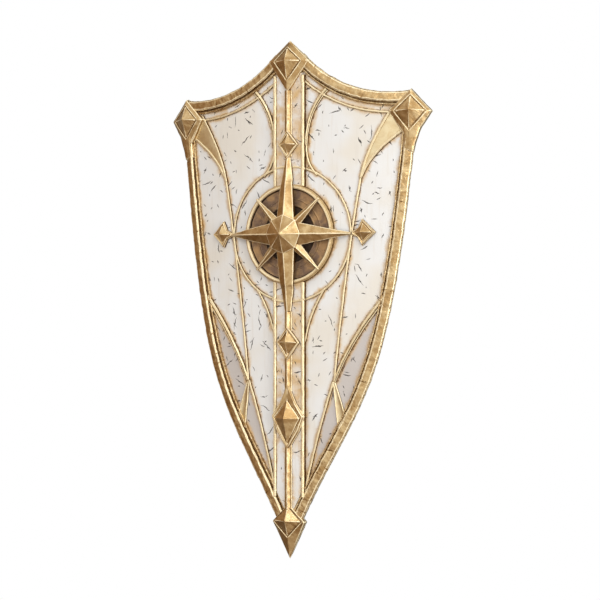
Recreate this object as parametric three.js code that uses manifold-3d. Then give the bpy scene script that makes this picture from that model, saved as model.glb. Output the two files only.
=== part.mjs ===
// An elongated heater shield with concave top edges, lying on its back with its face up.
//
// A curved lacquered board is bound by four gilt brass edge bars that meet under faceted caps at its
// two upper corners and at its two points. A pale lath with gilt edging and a ridged bar runs down its
// centre, through a dished medallion that carries an eight-pointed star. Gilt tracery divides the face.
// Two leather straps are riveted to the back.
//
// Every piece is first made flat, as if the board were unrolled: x across from the centre line, y along
// it from the medallion's centre, z out from the board's face. bend() then rolls it round the board's
// curve. Millimetres, +Z up.
import * as THREE from "three";
import { mergeVertices } from "three/addons/utils/BufferGeometryUtils.js";
import Module from "manifold-3d";

const wasm = await Module();
wasm.setup();

// ---- Driving dimensions, millimetres ----
const HEIGHT = 1000; // from the top point to the bottom point
const TOP_TIP_Y = 374; // the top point, above the medallion's centre
const BOTTOM_TIP_Y = TOP_TIP_Y - HEIGHT;
const CORNER_TIP = new THREE.Vector2(292, 229); // the outermost point of the right upper corner
const FLAT_HALF = 34; // half the width of the board's flat middle, which the centre lath covers
const BEND_RADIUS = 850; // of the board's face, beyond that flat middle
const BOARD_THICKNESS = 8;
const GAP = 0.3; // between pieces that touch
const RULING_STEP = 44; // how far apart the board's bends are in these faceted solids

const TOP_ARC_CENTRE = new THREE.Vector2(215, 518); // of each concave top edge
const TOP_ARC_RADIUS = 250;
const SIDE_CURVE = new THREE.CubicBezierCurve(
  new THREE.Vector2(255, 152),
  new THREE.Vector2(203.6, -321),
  new THREE.Vector2(156, -304),
  new THREE.Vector2(23.4, -560),
);

const RIM_WIDTH = 26; // of the edge bar with its inner fillet
const RIM_WALL = 6; // of brass outside the board's edge
const RIM_LIP = 12; // how far in the bar folds over the board's back
const BACK_Z = -BOARD_THICKNESS - 1.5; // the underside of that fold and of the caps
const WALL_LEAN = 4.5; // how far the outer walls of the bars and caps lean in, from
const WALL_TOP_Z = 3; // here down to the back
const CAP_EDGE_Z = 10.2; // where a cap's outer wall ends and its chamfer begins, just above the edge bars
const CAP_FACE_Z = 13;
const LATH_TOP = 8; // the centre lath's face
const ON_LATH_Z = LATH_TOP + GAP; // where the pieces on it begin
const EDGING_TOP = 10.5; // the gilt edging along it
const EDGING_WIDTH = 6;
const SPINE_HALF = 8; // half the ridged bar's width
const SPINE_RIDGE_Z = 15;

const CENTRE_HEAD_Y = 330; // the centre pieces run from under the top cap
const CENTRE_FOOT_Y = -600; // to under the bottom cap, and are cut back from both
const UNDER_MEDALLION_Y = 60; // they also run under the medallion's edge, and are cut back from it

const MEDALLION_RADIUS = 97.5;
const MEDALLION_TOP = 13;
const STAR_BASE_Z = MEDALLION_TOP + GAP;
const BOSS_RADIUS = 38;
const BOSS_EDGE_Z = 31;
const BOSS_APEX_Z = 46;
const STAR_UP = 149; // how far the star's upper and lower rays reach
const STAR_DOWN = 150;
const HALO_RADIUS = 130; // the thin circle round the medallion
const TRACERY_TOP = 3.6;

const STRAP_X = 95; // the arm strap and the hand strap, either side of the centre
const STRAP_Y = 20;
const STRAP_HALF_LENGTH = 78;
const STRAP_ARCH = 20; // free height under a strap as it lies
const STRAP_THICKNESS = 3.5;
const ARM_STRAP_WIDTH = 46;
const HAND_STRAP_WIDTH = 30;
const RIVET_RADIUS = 8;

// ---- Colours ----
const brass = (name, color, roughness = 0.4) =>
  new THREE.MeshStandardMaterial({ name, color, roughness, metalness: 0.9 });
const LACQUER = new THREE.MeshStandardMaterial({ name: "lacquer", color: 0xe8e4dc, roughness: 0.45 });
const GILT = brass("gilt", 0xb98d48);
const PALE_GILT = brass("pale_gilt", 0xd9b877);
const DARK_BRONZE = brass("dark_bronze", 0x6e5638, 0.5);
const LEATHER = new THREE.MeshStandardMaterial({ name: "leather", color: 0x5c3a22, roughness: 0.7 });

// ---- Flat shapes ----
const v2 = (x, y) => new THREE.Vector2(x, y);
const rectangle = (x0, x1, y0, y1) => [v2(x0, y0), v2(x1, y0), v2(x1, y1), v2(x0, y1)];
const mirrored = (points) => points.map((p) => v2(-p.x, p.y)).reverse();
const symmetric = (right) => [...right, ...mirrored(right).filter((p) => Math.abs(p.x) > 1e-6)];

// The concave top edge from x0 to x1, moved in from the shield's outline by inset.
function topEdge(x0, x1, steps, inset = 0) {
  return Array.from({ length: steps + 1 }, (_, i) => {
    const across = x0 + ((x1 - x0) * i) / steps - TOP_ARC_CENTRE.x;
    const out = v2(across, -Math.sqrt(TOP_ARC_RADIUS ** 2 - across ** 2)).normalize();
    return TOP_ARC_CENTRE.clone().addScaledVector(out, TOP_ARC_RADIUS + inset);
  });
}

// The side edge from the corner cap down to the bottom cap. It first runs straight up into the corner cap.
function sideEdge(steps, inset = 0) {
  const SIDE_RISE = 80;
  const start = SIDE_CURVE.getTangent(0);
  const path = SIDE_CURVE.getSpacedPoints(steps).map((p, i) => {
    const along = SIDE_CURVE.getTangentAt(i / steps);
    return v2(p.x + along.y * inset, p.y - along.x * inset);
  });
  return [path[0].clone().addScaledVector(start, -SIDE_RISE), ...path];
}

// A closed outline moved inwards by distance, with its corners mitred. Its points run anticlockwise.
function inset(outline, distance) {
  const points = THREE.ShapeUtils.isClockWise(outline) ? [...outline].reverse() : outline;
  return points.map((p, i) => {
    const before = p.clone().sub(points.at(i - 1)).normalize();
    const after = points[(i + 1) % points.length].clone().sub(p).normalize();
    const normal = v2(-before.y - after.y, before.x + after.x).normalize();
    const stretch = normal.dot(v2(-before.y, before.x));
    return p.clone().addScaledVector(normal, distance / stretch);
  });
}

// An arc of a circle, from one angle to another in degrees anticlockwise from +X.
function arc(centre, radius, from, to, steps) {
  return Array.from({ length: steps + 1 }, (_, i) => {
    const angle = THREE.MathUtils.degToRad(from + ((to - from) * i) / steps);
    return v2(centre.x + radius * Math.cos(angle), centre.y + radius * Math.sin(angle));
  });
}

// ---- Solids ----
// A closed three.js geometry as a solid. Its doubled vertices are merged and its empty faces dropped.
function solidOf(geometry) {
  geometry.deleteAttribute("normal");
  geometry.deleteAttribute("uv");
  const merged = mergeVertices(geometry, 1e-4);
  const faces = [];
  for (let i = 0; i < merged.index.count; i += 3) {
    const [a, b, c] = [0, 1, 2].map((k) => merged.index.getX(i + k));
    if (a !== b && b !== c && c !== a) faces.push(a, b, c);
  }
  const vertProperties = merged.attributes.position.array;
  const build = (list) =>
    new wasm.Manifold(new wasm.Mesh({ numProp: 3, vertProperties, triVerts: new Uint32Array(list) }));
  const made = build(faces);
  return made.volume() > 0 ? made : build(faces.reverse());
}

const prism = (outline, z0, z1) =>
  solidOf(
    new THREE.ExtrudeGeometry(new THREE.Shape(outline), { depth: z1 - z0, bevelEnabled: false })
      .translate(0, 0, z0),
  );

// The skin over a row of rings of the same number of points, closed by flat ends. flat is a ring's 2D shape.
function skin(rings, flat) {
  const turned = THREE.ShapeUtils.isClockWise(flat);
  const ends = THREE.ShapeUtils.triangulateShape(turned ? [...flat].reverse() : flat, []);
  const points = turned ? rings.map((ring) => [...ring].reverse()) : rings;
  const count = flat.length;
  const last = (rings.length - 1) * count;
  const index = ends.flatMap(([a, b, c]) => [a, c, b, last + a, last + b, last + c]);
  for (let start = 0; start < last; start += count) {
    for (let i = 0; i < count; i++) {
      const a = start + i;
      const b = start + ((i + 1) % count);
      index.push(a, b, b + count, a, b + count, a + count);
    }
  }
  const geometry = new THREE.BufferGeometry();
  const positions = points.flat().flatMap((p) => p.toArray());
  geometry.setAttribute("position", new THREE.Float32BufferAttribute(positions, 3));
  geometry.setIndex(index);
  return solidOf(geometry);
}

// Outlines of the same number of points, each at its own height.
const loft = (levels) =>
  skin(
    levels.map(([outline, z]) => outline.map((p) => new THREE.Vector3(p.x, p.y, z))),
    levels[0][0],
  );

// A profile of [sideways, height] points carried along a path. widthAt is its share of its full width there.
function sweep(path, profile, widthAt = () => 1) {
  const rings = path.map((p, i) => {
    const before = p.clone().sub(path[Math.max(i - 1, 0)]).normalize();
    const after = path[Math.min(i + 1, path.length - 1)].clone().sub(p).normalize();
    const along = before.clone().add(after).normalize();
    const side = v2(-along.y, along.x);
    const mitre = 1 / Math.max(along.dot(i ? before : after), 0.5);
    const stretch = widthAt(i / (path.length - 1)) * mitre;
    return profile.map(([u, z]) => {
      const at = p.clone().addScaledVector(side, u * stretch);
      return new THREE.Vector3(at.x, at.y, z);
    });
  });
  const section = profile.map(([u, z]) => v2(u, z));
  return skin(rings, section);
}

// A strip with sloping sides, centred on its path. taper is its width at the end as a share.
function strip(path, width, top = TRACERY_TOP, taper = 1) {
  const half = width / 2;
  const shoulder = 0.34 * width;
  const profile = [[-half, GAP], [half, GAP], [shoulder, top], [-shoulder, top]];
  return sweep(path, profile, (t) => 1 + (taper - 1) * t);
}

const joined = (solids) => solids.reduce((whole, piece) => whole.add(piece));
const cutBy = (solid, tools) => tools.reduce((whole, tool) => whole.subtract(tool), solid);

function largest(solid) {
  return solid.decompose().sort((a, b) => b.volume() - a.volume())[0];
}

// ---- Rolling a flat piece round the board's curve ----
const rulings = [];
for (let x = FLAT_HALF; x < 320; x += RULING_STEP) rulings.push(-x, x);
rulings.sort((a, b) => a - b);

// Between two rulings the board stays flat, so a point goes to its share of the way between them.
function rolled([x, y, z]) {
  const beyond = (Math.abs(x) - FLAT_HALF) / RULING_STEP;
  if (beyond <= 0) return [x, y, z];
  const share = beyond % 1;
  const out = BEND_RADIUS + z;
  const [before, after] = [0, 1].map((k) => ((Math.floor(beyond) + k) * RULING_STEP) / BEND_RADIUS);
  const across = out * (Math.sin(before) * (1 - share) + Math.sin(after) * share);
  const up = out * (Math.cos(before) * (1 - share) + Math.cos(after) * share);
  return [Math.sign(x) * (FLAT_HALF + across), y, up - BEND_RADIUS];
}

// Where the edge from p to q crosses the ruling at x. Both faces on an edge get the same point.
function crossing(p, q, x) {
  const inOrder = p[0] - q[0] || p[1] - q[1] || p[2] - q[2];
  const [a, b] = inOrder < 0 ? [p, q] : [q, p];
  const share = (x - a[0]) / (b[0] - a[0]);
  return [x, a[1] + (b[1] - a[1]) * share, a[2] + (b[2] - a[2]) * share];
}

// The part of a flat polygon on one side of a ruling: side 1 keeps what is right of it, and -1 what is left.
function clipped(polygon, x, side) {
  return polygon.flatMap((p, i) => {
    const q = polygon[(i + 1) % polygon.length];
    const [here, there] = [(p[0] - x) * side, (q[0] - x) * side];
    const kept = here >= 0 ? [p] : [];
    return here * there < 0 ? [...kept, crossing(p, q, x)] : kept;
  });
}

// Cuts every face at the board's rulings, and rolls the result.
function bend(solid) {
  const SNAP = 0.02;
  const mesh = solid.getMesh();
  const corner = (i) => {
    const p = Array.from(mesh.vertProperties.subarray(i * mesh.numProp, i * mesh.numProp + 3));
    const near = rulings.find((x) => Math.abs(x - p[0]) < SNAP);
    return near === undefined ? p : [near, p[1], p[2]];
  };
  const positions = [];
  for (let i = 0; i < mesh.triVerts.length; i += 3) {
    let rest = [0, 1, 2].map((k) => corner(mesh.triVerts[i + k]));
    const slabs = [];
    for (const x of rulings) {
      if (rest.every((p) => p[0] <= x)) break;
      slabs.push(clipped(rest, x, -1));
      rest = clipped(rest, x, 1);
    }
    slabs.push(rest);
    for (const slab of slabs) {
      for (let k = 1; k + 1 < slab.length; k++) {
        positions.push(...rolled(slab[0]), ...rolled(slab[k]), ...rolled(slab[k + 1]));
      }
    }
  }
  const geometry = new THREE.BufferGeometry();
  geometry.setAttribute("position", new THREE.Float32BufferAttribute(positions, 3));
  return mergeVertices(geometry, 1e-3);
}

// ---- Outlines ----
const boardOutline = (grow = 0) => {
  const edge = RIM_WALL + GAP - grow;
  return symmetric([
    v2(0, 362 + grow),
    ...topEdge(28, 252, 10, edge).slice(1, -1),
    v2(268 + grow, 236 + grow),
    ...sideEdge(18, edge).slice(1),
    v2(0, -600 - grow),
  ]);
};

const topCap = {
  outline: [v2(0, TOP_TIP_Y), v2(-46, 334), v2(0, 271), v2(46, 334)],
  gem: [v2(0, 357), v2(-26, 333), v2(0, 300), v2(26, 333)],
  apex: v2(0, 334),
};
const bottomCap = {
  outline: [v2(0, -518), v2(-37, -553), v2(0, BOTTOM_TIP_Y), v2(37, -553)],
  gem: [v2(0, -525), v2(-28, -552), v2(0, -580), v2(28, -552)],
  apex: v2(0, -552),
};
const cornerCap = {
  outline: [
    v2(251, 273), v2(206, 231), v2(236, 184), v2(233, 154),
    v2(256, 150), v2(259.5, 168), v2(270, 197), CORNER_TIP,
  ],
  gem: [v2(250, 257), v2(222, 230), v2(248, 197), v2(277, 230)],
  apex: v2(249, 232),
};

const GEM_RISE = 11;
const CAP_CHAMFER = 5;

// Columns that run right through the shield, to cut a piece back from its neighbour.
const column = (outline) => prism(outline, -30, 60);
const footprint = (cap) => column(inset(cap.outline, -GAP));
const lathFootprint = column(rectangle(-FLAT_HALF - GAP, FLAT_HALF + GAP, CENTRE_FOOT_Y, CENTRE_HEAD_Y));
const medallionFootprint = column(arc(v2(0, 0), MEDALLION_RADIUS + 2 * GAP, 0, 352.5, 47));

// A faceted stone shape: a low wall round the outline, and four facets that rise to the apex.
const gemOn = (outline, apex, z, rise) =>
  loft([[outline, z - 1], [outline, z + 1.5], [outline.map(() => apex), z + 1.5 + rise]]);

// ---- Board ----
const board = () => prism(boardOutline(), -BOARD_THICKNESS, 0);

// ---- Caps at the corners and points ----
function cap({ outline, gem, apex }) {
  const body = loft([
    [inset(outline, WALL_LEAN), BACK_Z], [outline, WALL_TOP_Z],
    [inset(outline, 1), CAP_EDGE_Z], [inset(outline, CAP_CHAMFER), CAP_FACE_Z],
  ]);
  const slot = prism(boardOutline(GAP), -BOARD_THICKNESS - GAP, GAP);
  return body.subtract(slot).add(gemOn(gem, apex, CAP_FACE_Z, GEM_RISE));
}

// ---- Edge bars: a channel folded round the board's edge, with a low fillet along its inner side ----
const RIM_PROFILE = [
  [WALL_LEAN, BACK_Z], [RIM_LIP, BACK_Z], [RIM_LIP, -BOARD_THICKNESS - GAP],
  [RIM_WALL, -BOARD_THICKNESS - GAP], [RIM_WALL, GAP], [RIM_WIDTH, GAP], [RIM_WIDTH, 4.4], [22.2, 4.8],
  [21.6, 2.6], [20, 2.6], [19.4, 7.4], [17, 9.2], [3.4, 8.6], [0, WALL_TOP_Z],
];

// profile is measured inwards from the shield's outline, which is on the right of the path as drawn here.
function edgeBar(path) {
  const bar = sweep(path, RIM_PROFILE.map(([u, z]) => [-u, z]));
  return largest(cutBy(bar, [footprint(topCap), footprint(cornerCap), footprint(bottomCap)]));
}

// ---- Centre lath with its edging, and the ridged bar on it ----
const rimInside = () => {
  const bars = [...topEdge(5.6, 252, 11, RIM_WIDTH + GAP).slice(0, -1), ...sideEdge(18, RIM_WIDTH + GAP)];
  return prism(symmetric(bars.filter((p) => p.x > 0)), -1, 40);
};

function lath(y0, y1) {
  const half = FLAT_HALF - EDGING_WIDTH - GAP;
  const plate = prism(rectangle(-half, half, y0, y1), GAP, LATH_TOP);
  return cutBy(plate, [medallionFootprint, footprint(topCap), footprint(bottomCap)]).intersect(rimInside());
}

// The right edging strip of one half of the lath, with the stub of the halo that crosses the lath.
function edging(y0, y1, haloFrom, haloTo) {
  const middle = FLAT_HALF - EDGING_WIDTH / 2;
  const rail = strip([v2(middle, y0), v2(middle, y1)], EDGING_WIDTH, EDGING_TOP);
  const raised = sweep(arc(v2(0, 0), HALO_RADIUS, haloFrom, haloTo, 4), [
    [-2, ON_LATH_Z], [2, ON_LATH_Z], [2, EDGING_TOP - 0.6], [-2, EDGING_TOP - 0.6],
  ]);
  const whole = cutBy(rail.add(raised), [medallionFootprint, footprint(topCap), footprint(bottomCap)]);
  return largest(whole.intersect(rimInside()));
}

// The ridged bar along y, as a section that stands on the lath.
const SPINE_SECTION = [
  [-SPINE_HALF, ON_LATH_Z], [SPINE_HALF, ON_LATH_Z], [SPINE_HALF, 10], [5, 11.5], [0, SPINE_RIDGE_Z],
  [-5, 11.5], [-SPINE_HALF, 10],
];
function spineBar(y0, y1, grow = 0) {
  const section = SPINE_SECTION.map(([u, z]) => [u + Math.sign(u) * grow, z > 9 ? z + grow : z - grow]);
  return sweep([v2(0, y0), v2(0, y1)], section);
}

// ---- Studs: a rhombic plate under a faceted gem ----
const rhombus = (x, y, half, up, down = up) => [
  v2(x, y + up), v2(x - half, y), v2(x, y - down), v2(x + half, y),
];

function stud(outline, gem, apex, z, rise) {
  const plate = loft([[outline, z], [outline, z + 2.5], [inset(outline, 3), z + 4.5]]);
  return plate.add(gemOn(gem, apex, z + 4.5, rise));
}

const onSpine = (made) => made.subtract(spineBar(CENTRE_FOOT_Y, CENTRE_HEAD_Y, GAP));

const upperStud = () =>
  onSpine(stud(rhombus(0, 173, 22, 26), rhombus(0, 173, 15, 19), v2(0, 174), ON_LATH_Z, 10));
const lowerStud = () =>
  onSpine(stud(rhombus(0, -208, 25, 29, 33), rhombus(0, -208, 18, 21, 25), v2(0, -207), ON_LATH_Z, 10));

// The large stud stands in a frame whose sides sweep up to a point.
function largeStud() {
  const right = [v2(0, -283), v2(8, -303), v2(19, -326), v2(36.5, -350), v2(26, -378), v2(0, -418)];
  const left = right.slice(1, -1).map((p) => v2(-p.x, p.y));
  const outline = [right[0], ...left, right.at(-1), ...right.slice(1, -1).reverse()];
  const plate = loft([[outline, ON_LATH_Z], [outline, LATH_TOP + 4], [inset(outline, 2.5), LATH_TOP + 7]]);
  const gem = [v2(0, -319), v2(-28, -354), v2(0, -404), v2(28, -354)];
  const notches = [-1, 1].map((side) => {
    const middle = side * (FLAT_HALF - EDGING_WIDTH / 2);
    const half = EDGING_WIDTH / 2 + GAP;
    return prism(rectangle(middle - half, middle + half, -430, -270), 0, EDGING_TOP + GAP);
  });
  return onSpine(cutBy(plate.add(gemOn(gem, v2(0, -355), LATH_TOP + 7, 13)), notches));
}

function sideStud() {
  const outline = [v2(154, 28), v2(145, 10), v2(133, 4), v2(133, -2), v2(145, -8), v2(154, -24), v2(181, 2)];
  return stud(outline, rhombus(156, 2, 17, 17), v2(155, 2), GAP + TRACERY_TOP, 9);
}

// ---- Medallion: a dished ring plate ----
function medallion() {
  const R = MEDALLION_RADIUS;
  const profile = [
    [0, GAP], [R, GAP], [R, 10], [R - 2.5, MEDALLION_TOP], [R - 8, MEDALLION_TOP], [R - 10, 11],
    [R - 11.5, 6.5], [R - 41, 5], [R - 43, 2], [0, 2],
  ];
  const lathe = new THREE.LatheGeometry(profile.map(([r, z]) => v2(r, z)), 48).rotateX(Math.PI / 2);
  return solidOf(lathe);
}

// ---- Star: eight ridged rays round a faceted boss ----
// Each section of a ray is [distance out, half width, underside, ridge].
const RAY_SIDE = 0.5; // its upright sides' share of its height
const RAYS = {
  side: [
    [24, 22, STAR_BASE_Z, 32], [98, 8, STAR_BASE_Z, 20], [106, 6.6, 9, 17], [131, 2.5, 4.2, 9],
  ],
  up: [
    [24, 19, STAR_BASE_Z, 32], [98, 12.5, STAR_BASE_Z, 22],
    [106, 11.5, ON_LATH_Z, 20], [STAR_UP, 5, ON_LATH_Z, 14],
  ],
  down: [
    [24, 19.5, STAR_BASE_Z, 32], [98, 14, STAR_BASE_Z, 22],
    [106, 13, ON_LATH_Z, 20], [STAR_DOWN, 9, ON_LATH_Z, 16],
  ],
  diagonal: [[24, 11, STAR_BASE_Z, 29], [95, 2, STAR_BASE_Z, 15]],
};

function ray(degrees, sections) {
  const angle = THREE.MathUtils.degToRad(degrees);
  const [out, across] = [v2(Math.cos(angle), Math.sin(angle)), v2(-Math.sin(angle), Math.cos(angle))];
  const rings = sections.map(([reach, half, low, ridge]) => {
    const shoulder = low + RAY_SIDE * (ridge - low);
    return [[-half, low], [half, low], [half, shoulder], [0, ridge], [-half, shoulder]].map(([u, z]) => {
      const at = out.clone().multiplyScalar(reach).addScaledVector(across, u);
      return new THREE.Vector3(at.x, at.y, z);
    });
  });
  return skin(rings, [v2(-1, 0), v2(1, 0), v2(1, RAY_SIDE), v2(0, 1), v2(-1, RAY_SIDE)]);
}

function star() {
  const octagon = (radius) => arc(v2(0, 0), radius, 0, 315, 7);
  const boss = loft([
    [octagon(BOSS_RADIUS - 5), STAR_BASE_Z], [octagon(BOSS_RADIUS), BOSS_EDGE_Z],
    [octagon(BOSS_RADIUS).map(() => v2(0, 0)), BOSS_APEX_Z],
  ]);
  const long = [ray(0, RAYS.side), ray(90, RAYS.up), ray(180, RAYS.side), ray(270, RAYS.down)];
  const short = [45, 135, 225, 315].map((degrees) => ray(degrees, RAYS.diagonal));
  return joined([boss, ...long, ...short]);
}

// ---- Tracery: one soldered grille a side, and the sheet laid in its upper horn ----
const quadratic = (a, b, c) => new THREE.QuadraticBezierCurve(v2(...a), v2(...b), v2(...c));
const hornOuter = quadratic([213, 237], [162, 163], [150, 105]);
const hornInner = quadratic([240, 198], [171, 157], [151, 107]);
const longLine = quadratic([150, 105], [117.3, -71], [95.5, -283]);
const upperBrace = quadratic([200, -126], [131, -196.7], [96, -283]);
const lowerBrace = quadratic([94, -283], [60, -378.5], [30, -510]);
const lowerFlare = quadratic([76, -104], [42.8, -150.5], [36, -204]);
const wedge = [v2(93, -284), v2(104, -390), v2(124, -358), v2(99, -284)];

function tracery() {
  const archRadius = 141.3;
  const flareRadius = 70;
  const edge = FLAT_HALF + 2;
  const strips = [
    strip(topEdge(20, 209, 9, 39), 4.6, 3.2),
    strip(arc(v2(edge + archRadius, 175), archRadius, 128, 182, 7), 9, TRACERY_TOP + 1, 0.55),
    strip(arc(v2(edge + flareRadius, 165), flareRadius, 175, 228, 5), 4.6, 3.4),
    strip(hornOuter.getSpacedPoints(6), 6, TRACERY_TOP + 0.4),
    strip(hornInner.getSpacedPoints(6), 6, TRACERY_TOP + 0.2),
    strip(longLine.getSpacedPoints(8), 5, TRACERY_TOP),
    strip(arc(v2(0, 0), HALO_RADIUS, 80, -80, 24), 4.8, 3.3),
    strip(lowerFlare.getSpacedPoints(5), 4.6, 3.5),
    strip(upperBrace.getSpacedPoints(7), 12, TRACERY_TOP + 1.2, 0.5),
    strip(lowerBrace.getSpacedPoints(7), 5.6, TRACERY_TOP + 0.3),
    prism(wedge, GAP, TRACERY_TOP - 0.8),
  ];
  const tools = [lathFootprint, footprint(topCap), footprint(cornerCap), footprint(bottomCap)];
  return largest(cutBy(joined(strips), tools).intersect(rimInside()));
}

// The sheet fills the horn between its two strips, and ends against them.
function hornInlay() {
  const against = (curve) => strip(curve.getSpacedPoints(6), 6.8, 12);
  const [outer, inner] = [hornOuter, hornInner].map((curve) => curve.getSpacedPoints(6).slice(0, -1));
  const sheet = prism([...outer, ...inner.reverse()], GAP, 1.8);
  const tools = [footprint(cornerCap), against(hornOuter), against(hornInner)];
  return largest(cutBy(sheet, tools).intersect(rimInside()));
}

// ---- Straps on the back ----
// A strap runs along y and arches away from the board between its two riveted feet.
function strap(x, width) {
  const FOOT = 28;
  const reach = STRAP_HALF_LENGTH - FOOT;
  const steps = 14;
  const stations = Array.from({ length: steps + 1 }, (_, i) => -reach + (2 * reach * i) / steps);
  const half = width / 2;
  const rings = [-STRAP_HALF_LENGTH, ...stations, STRAP_HALF_LENGTH].map((y) => {
    const arch = Math.abs(y) < reach ? (STRAP_ARCH / 2) * (1 + Math.cos((Math.PI * y) / reach)) : 0;
    const face = -BOARD_THICKNESS - GAP - arch;
    return [[-half, face], [-half, face - STRAP_THICKNESS], [half, face - STRAP_THICKNESS], [half, face]].map(
      ([u, z]) => new THREE.Vector3(x + u, STRAP_Y + y, z),
    );
  });
  return skin(rings, [v2(0, 1), v2(0, 0), v2(1, 0), v2(1, 1)]);
}

function rivet(x, y) {
  const under = -BOARD_THICKNESS - 2 * GAP - STRAP_THICKNESS;
  const profile = [[0, under], [RIVET_RADIUS, under], [RIVET_RADIUS * 0.8, under - 2], [0, under - 3]];
  const lathe = new THREE.LatheGeometry(profile.map(([r, z]) => v2(r, z)), 16).rotateX(Math.PI / 2);
  return solidOf(lathe.translate(x, y, 0));
}

// ---- Assembly ----
const shield = new THREE.Group();

function add(name, solid, material) {
  const mesh = new THREE.Mesh(bend(solid), material);
  mesh.name = name;
  shield.add(mesh);
  return mesh;
}

// The same piece on the right and, mirrored, on the left.
function addPair(name, solid, material) {
  const right = add(`${name}_right`, solid, material);
  const left = right.clone();
  left.name = `${name}_left`;
  left.scale.x = -1;
  shield.add(left);
}

add("board", board(), LACQUER);
addPair("edge_bar_top", edgeBar(topEdge(28, 252, 10)), GILT);
addPair("edge_bar_side", edgeBar(sideEdge(18)), GILT);
add("cap_top", cap(topCap), GILT);
add("cap_bottom", cap(bottomCap), GILT);
addPair("cap_corner", cap(cornerCap), GILT);

const upperHalf = [UNDER_MEDALLION_Y, CENTRE_HEAD_Y];
const lowerHalf = [CENTRE_FOOT_Y, -UNDER_MEDALLION_Y];
add("lath_upper", lath(...upperHalf), LACQUER);
add("lath_lower", lath(...lowerHalf), LACQUER);
addPair("edging_upper", edging(...upperHalf, 75, 85), PALE_GILT);
addPair("edging_lower", edging(...lowerHalf, -83, -75), PALE_GILT);
add("spine_upper", cutBy(spineBar(STAR_UP + GAP, CENTRE_HEAD_Y), [footprint(topCap)]), GILT);
add("spine_lower", cutBy(spineBar(CENTRE_FOOT_Y, -STAR_DOWN - GAP), [footprint(bottomCap)]), GILT);

add("medallion", medallion(), DARK_BRONZE);
add("star", star(), GILT);
add("stud_upper", upperStud(), GILT);
add("stud_lower", lowerStud(), GILT);
add("stud_large", largeStud(), GILT);
addPair("stud_side", sideStud(), GILT);

addPair("tracery", tracery(), PALE_GILT);
addPair("horn_inlay", hornInlay(), GILT);

add("arm_strap", strap(STRAP_X, ARM_STRAP_WIDTH), LEATHER);
add("hand_strap", strap(-STRAP_X, HAND_STRAP_WIDTH), LEATHER);
for (const [side, x] of [["arm", STRAP_X], ["hand", -STRAP_X]]) {
  for (const [end, y] of [["upper", 1], ["lower", -1]]) {
    add(`rivet_${side}_${end}`, rivet(x, STRAP_Y + y * (STRAP_HALF_LENGTH - 14)), GILT);
  }
}

// It lies on the backs of its corner tips and of its bottom point, so it is tipped by the corners' drop.
const cornerBack = inset(cornerCap.outline, WALL_LEAN).at(-1);
const bottomBack = inset(bottomCap.outline, WALL_LEAN)[2];
const drop = BACK_Z - rolled([cornerBack.x, cornerBack.y, BACK_Z])[2];
shield.rotation.x = Math.atan2(drop, cornerBack.y - bottomBack.y);

// The origin is under the middle of the shield, on the surface that it lies on.
const box = new THREE.Box3().setFromObject(shield, true);
const middle = box.getCenter(new THREE.Vector3());
shield.position.set(-middle.x, -middle.y, -box.min.z);

const part = new THREE.Group();
part.add(shield);

export default part;
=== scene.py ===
"""Builds the looks of a curved white and gilt shield around its packed frame.

The shield is drawn unrolled, in millimetres: x across it from its centre line, y up it from the medallion's
centre, and z out of its face. place() rolls each finished piece round the board's curve and lays it down.
"""

import functools
import math

import bpy
import numpy as np
from mathutils import Matrix, Vector


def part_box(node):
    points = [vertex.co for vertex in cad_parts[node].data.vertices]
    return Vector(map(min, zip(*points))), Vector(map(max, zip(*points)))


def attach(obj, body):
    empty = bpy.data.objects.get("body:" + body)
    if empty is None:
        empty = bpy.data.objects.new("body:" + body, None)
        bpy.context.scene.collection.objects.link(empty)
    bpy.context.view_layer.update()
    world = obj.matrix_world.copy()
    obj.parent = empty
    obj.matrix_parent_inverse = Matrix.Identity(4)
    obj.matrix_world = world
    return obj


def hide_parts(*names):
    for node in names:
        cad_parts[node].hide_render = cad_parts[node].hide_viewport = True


bl_info = {
    "name": "Gilt star shield",
    "version": (1, 0, 0),
    "blender": (4, 5, 0),
    "location": "3D View > Sidebar > Shield",
    "description": "Builds a white lacquered shield with gilt bars, caps, tracery and a star",
    "category": "Add Mesh",
}

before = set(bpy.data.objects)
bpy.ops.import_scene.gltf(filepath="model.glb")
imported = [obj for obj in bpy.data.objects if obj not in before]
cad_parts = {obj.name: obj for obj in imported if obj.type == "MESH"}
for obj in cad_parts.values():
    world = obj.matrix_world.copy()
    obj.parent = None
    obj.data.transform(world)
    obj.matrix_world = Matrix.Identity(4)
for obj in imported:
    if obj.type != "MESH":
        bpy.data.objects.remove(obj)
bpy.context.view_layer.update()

# ---- Sizes on the unrolled shield, in millimetres ----
FLAT_HALF = 34.0  # half the width of the board's flat middle
BEND_RADIUS = 850.0  # of the board's face beyond it
BOARD_THICKNESS = 8.0
BACK_Z = -9.5  # the underside of the caps and bars
WALL_LEAN = 4.5  # how far their outer walls lean in, from
WALL_TOP_Z = 3.0  # here down to the back
ON_BOARD = 0.1  # the underside of what lies on the board

TOP_ARC_CENTRE = (215.0, 518.0)
TOP_ARC_RADIUS = 250.0
SIDE_CURVE = ((255.0, 152.0), (203.6, -321.0), (156.0, -304.0), (23.4, -560.0))
BAR_WIDTH = 26.0  # of an edge bar with its fillet
BAR_WALL = 6.3  # of it that is outside the board

TOP_CAP = ((0, 374), (-46, 334), (0, 271), (46, 334))
BOTTOM_CAP = ((0, -518), (-37, -553), (0, -626), (37, -553))
CORNER_CAP = (
    (251, 273), (206, 231), (236, 184), (234, 156), (246, 152),
    (256, 150.5), (259.5, 168), (270, 197), (292, 229),
)  # fmt: skip

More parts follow.
